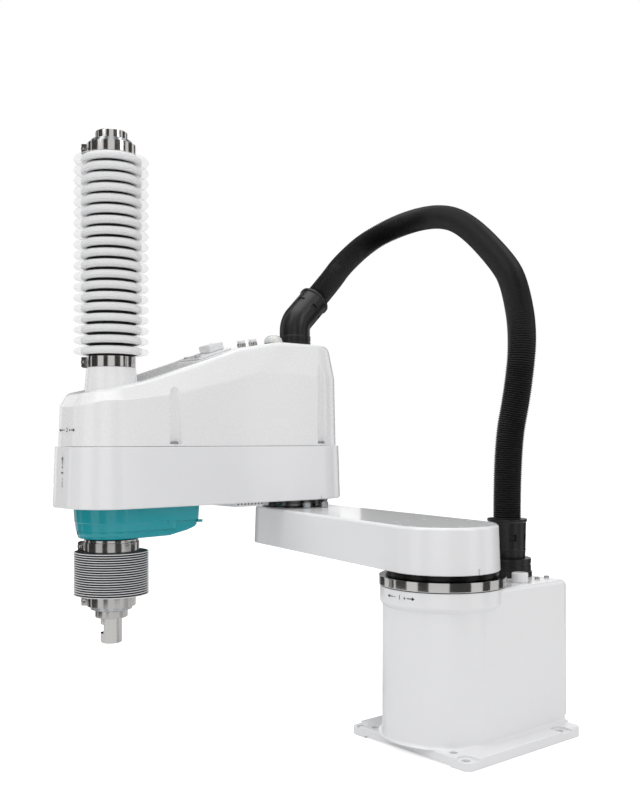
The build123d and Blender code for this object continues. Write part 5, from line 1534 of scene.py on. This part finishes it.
@dataclass
class Studio:
    """Camera at the photograph's place, soft lights, white surround and floor."""

    eye: Point = (0.7678, 0.7041, 0.3206)
    heading: float = 139.688
    lens: float = 43.75
    shift_y: float = 0.0496
    flags: tuple[tuple[float, float], ...] = ((-28.0, 0.44), (20.0, 0.3), (79.0, 0.5), (121.0, 0.22),
                                              (166.0, 0.5), (214.0, 0.3), (262.0, 0.46), (304.0, 0.26))
    flag_height: float = 1.8
    flag_distance: float = 0.86
    flag_centre: Point = (0.05, -0.15, 0.9)
    fill_strength: float = 0.62
    floor_half: float = 6.0
    lamps: tuple[tuple[Point, Point, float, float], ...] = field(default=(
        ((1.6, -0.4, 1.7), (0.05, -0.2, 0.3), 1.2, 9.0),
        ((-0.3, 1.7, 1.5), (0.0, -0.15, 0.3), 1.1, 8.0),
        ((0.1, -0.2, 2.3), (0.0, -0.2, 0.3), 1.8, 14.0),
    ))

    def build(self) -> None:
        """Set up camera, lights, surround and floor."""
        self.build_camera()
        self.build_world()
        self.build_lights()
        self.build_floor()
        self.build_flags()
        bpy.context.scene.view_settings.view_transform = "Standard"

    def build_camera(self) -> None:
        """Level camera solved from the photograph."""
        data = bpy.data.cameras.new("portrait")
        data.lens = self.lens
        data.sensor_width = 36.0
        data.shift_y = self.shift_y
        data.clip_start = 0.01
        camera = linked("portrait", data)
        camera.location = self.eye
        camera.rotation_euler = (math.radians(90), 0, math.radians(self.heading))
        bpy.context.scene.camera = camera

    def build_world(self) -> None:
        """Soft grey light from all round, white where it is looked at or mirrored."""
        world = bpy.data.worlds.new("surround")
        bpy.context.scene.world = world
        world.use_nodes = True
        tree = world.node_tree
        tree.nodes.clear()
        rays = add(tree, "ShaderNodeLightPath").outputs
        seen = add(tree, "ShaderNodeMath", None, {0: rays["Is Camera Ray"], 1: rays["Is Glossy Ray"]},
                   operation="MAXIMUM")
        through = add(tree, "ShaderNodeMath", None,
                      {0: seen.outputs["Value"], 1: rays["Is Transmission Ray"]}, operation="MAXIMUM")
        fill = add(tree, "ShaderNodeBackground", {"Color": linear(WHITE), "Strength": self.fill_strength})
        white = add(tree, "ShaderNodeBackground", {"Color": linear(WHITE), "Strength": 1.0})
        mixed = add(tree, "ShaderNodeMixShader", None,
                    {0: through.outputs["Value"], 1: fill.outputs["Background"],
                     2: white.outputs["Background"]})
        add(tree, "ShaderNodeOutputWorld", None, {"Surface": mixed.outputs["Shader"]})

    def build_lights(self) -> None:
        """Large soft lamps above and to both sides."""
        for index, (place, aim, size, power) in enumerate(self.lamps):
            data = bpy.data.lights.new(f"softbox_{index}", "AREA")
            data.shape = "SQUARE"
            data.size = size
            data.energy = power
            lamp = linked(f"softbox_{index}", data)
            lamp.location = place
            lamp.rotation_euler = (Vector(aim) - Vector(place)).to_track_quat("-Z", "Y").to_euler()

    def build_floor(self) -> None:
        """Pale floor that turns white to the camera and keeps a soft shadow."""
        made = bare_material("pale_floor")
        tree = made.node_tree
        rays = add(tree, "ShaderNodeLightPath").outputs
        plain = add(tree, "ShaderNodeBsdfDiffuse", {"Color": linear("#E8E8E8")})
        glow = add(tree, "ShaderNodeEmission", {"Color": linear(WHITE), "Strength": self.fill_strength})
        lit = add(tree, "ShaderNodeAddShader", None, {0: plain.outputs["BSDF"], 1: glow.outputs["Emission"]})
        mixed = add(tree, "ShaderNodeMixShader", None,
                    {0: rays["Is Camera Ray"], 1: plain.outputs["BSDF"], 2: lit.outputs["Shader"]})
        add(tree, "ShaderNodeOutputMaterial", None, {"Surface": mixed.outputs["Shader"]})
        self.sheet("floor", self.floor_half, Matrix.Identity(4), made)

    def sheet(self, name: str, half: float, matrix: Matrix, made: bpy.types.Material) -> bpy.types.Object:
        """Stand or lay one flat sheet of the studio.

        Args:
            name: Name of the sheet.
            half: Half its side before it is placed, in metres.
            matrix: Its place.
            made: Its material.

        Returns:
            The sheet.
        """
        bm = bmesh.new()
        bmesh.ops.create_grid(bm, x_segments=1, y_segments=1, size=half)
        placed(bm, matrix)
        mesh = bpy.data.meshes.new(name)
        bm.to_mesh(mesh)
        bm.free()
        stood = linked(name, mesh)
        mesh.materials.append(made)
        return stood

    def build_flags(self) -> None:
        """Dark grey studio flags that give polished steel its dark upright streaks."""
        made = bare_material("studio_flag")
        tree = made.node_tree
        cloth = add(tree, "ShaderNodeBsdfDiffuse", {"Color": linear("#4A4A4A")})
        add(tree, "ShaderNodeOutputMaterial", None, {"Surface": cloth.outputs["BSDF"]})
        for index, (turn, width) in enumerate(self.flags):
            way = Vector((math.cos(math.radians(turn)), math.sin(math.radians(turn)), 0))
            matrix = (Matrix.Translation(way * self.flag_distance + Vector(self.flag_centre))
                      @ rotation(turn + 90) @ rotation(90, "X")
                      @ Matrix.Diagonal((width, self.flag_height, 1.0, 1.0)))
            flag = self.sheet(f"flag_{index}", 0.5, matrix, made)
            flag.visible_camera = False
            flag.visible_diffuse = False
            flag.visible_shadow = False


def dress_nodes(frame: dict) -> None:
    """Give every CAD node the finish of its material slot.

    Args:
        frame: The loaded frame.
    """
    slots = {row["node"]: row["material_slot"] for row in frame["record"]["subparts"]}
    for name, slot in slots.items():
        node = bpy.data.objects.get(name)
        if node is None:
            continue
        node.data.materials.clear()
        finish = TEAL if name == "housing_screws" else BY_SLOT[slot]
        node.data.materials.append(finish.material())


def main() -> None:
    """Load the frame, and build the robot and its studio."""
    logging.basicConfig(level=logging.INFO, format="%(name)s: %(message)s")
    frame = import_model()
    layout = Layout()
    Studio().build()
    Hose(layout).build()
    dress_nodes(frame)
    BaseUnit(layout).build()
    FirstArm(layout).build()
    SecondArm(layout).build()
    Spindle(layout).build()
    CoverFittings(layout).build()
    Markings(layout).build()


if __name__ == "__main__":
    main()
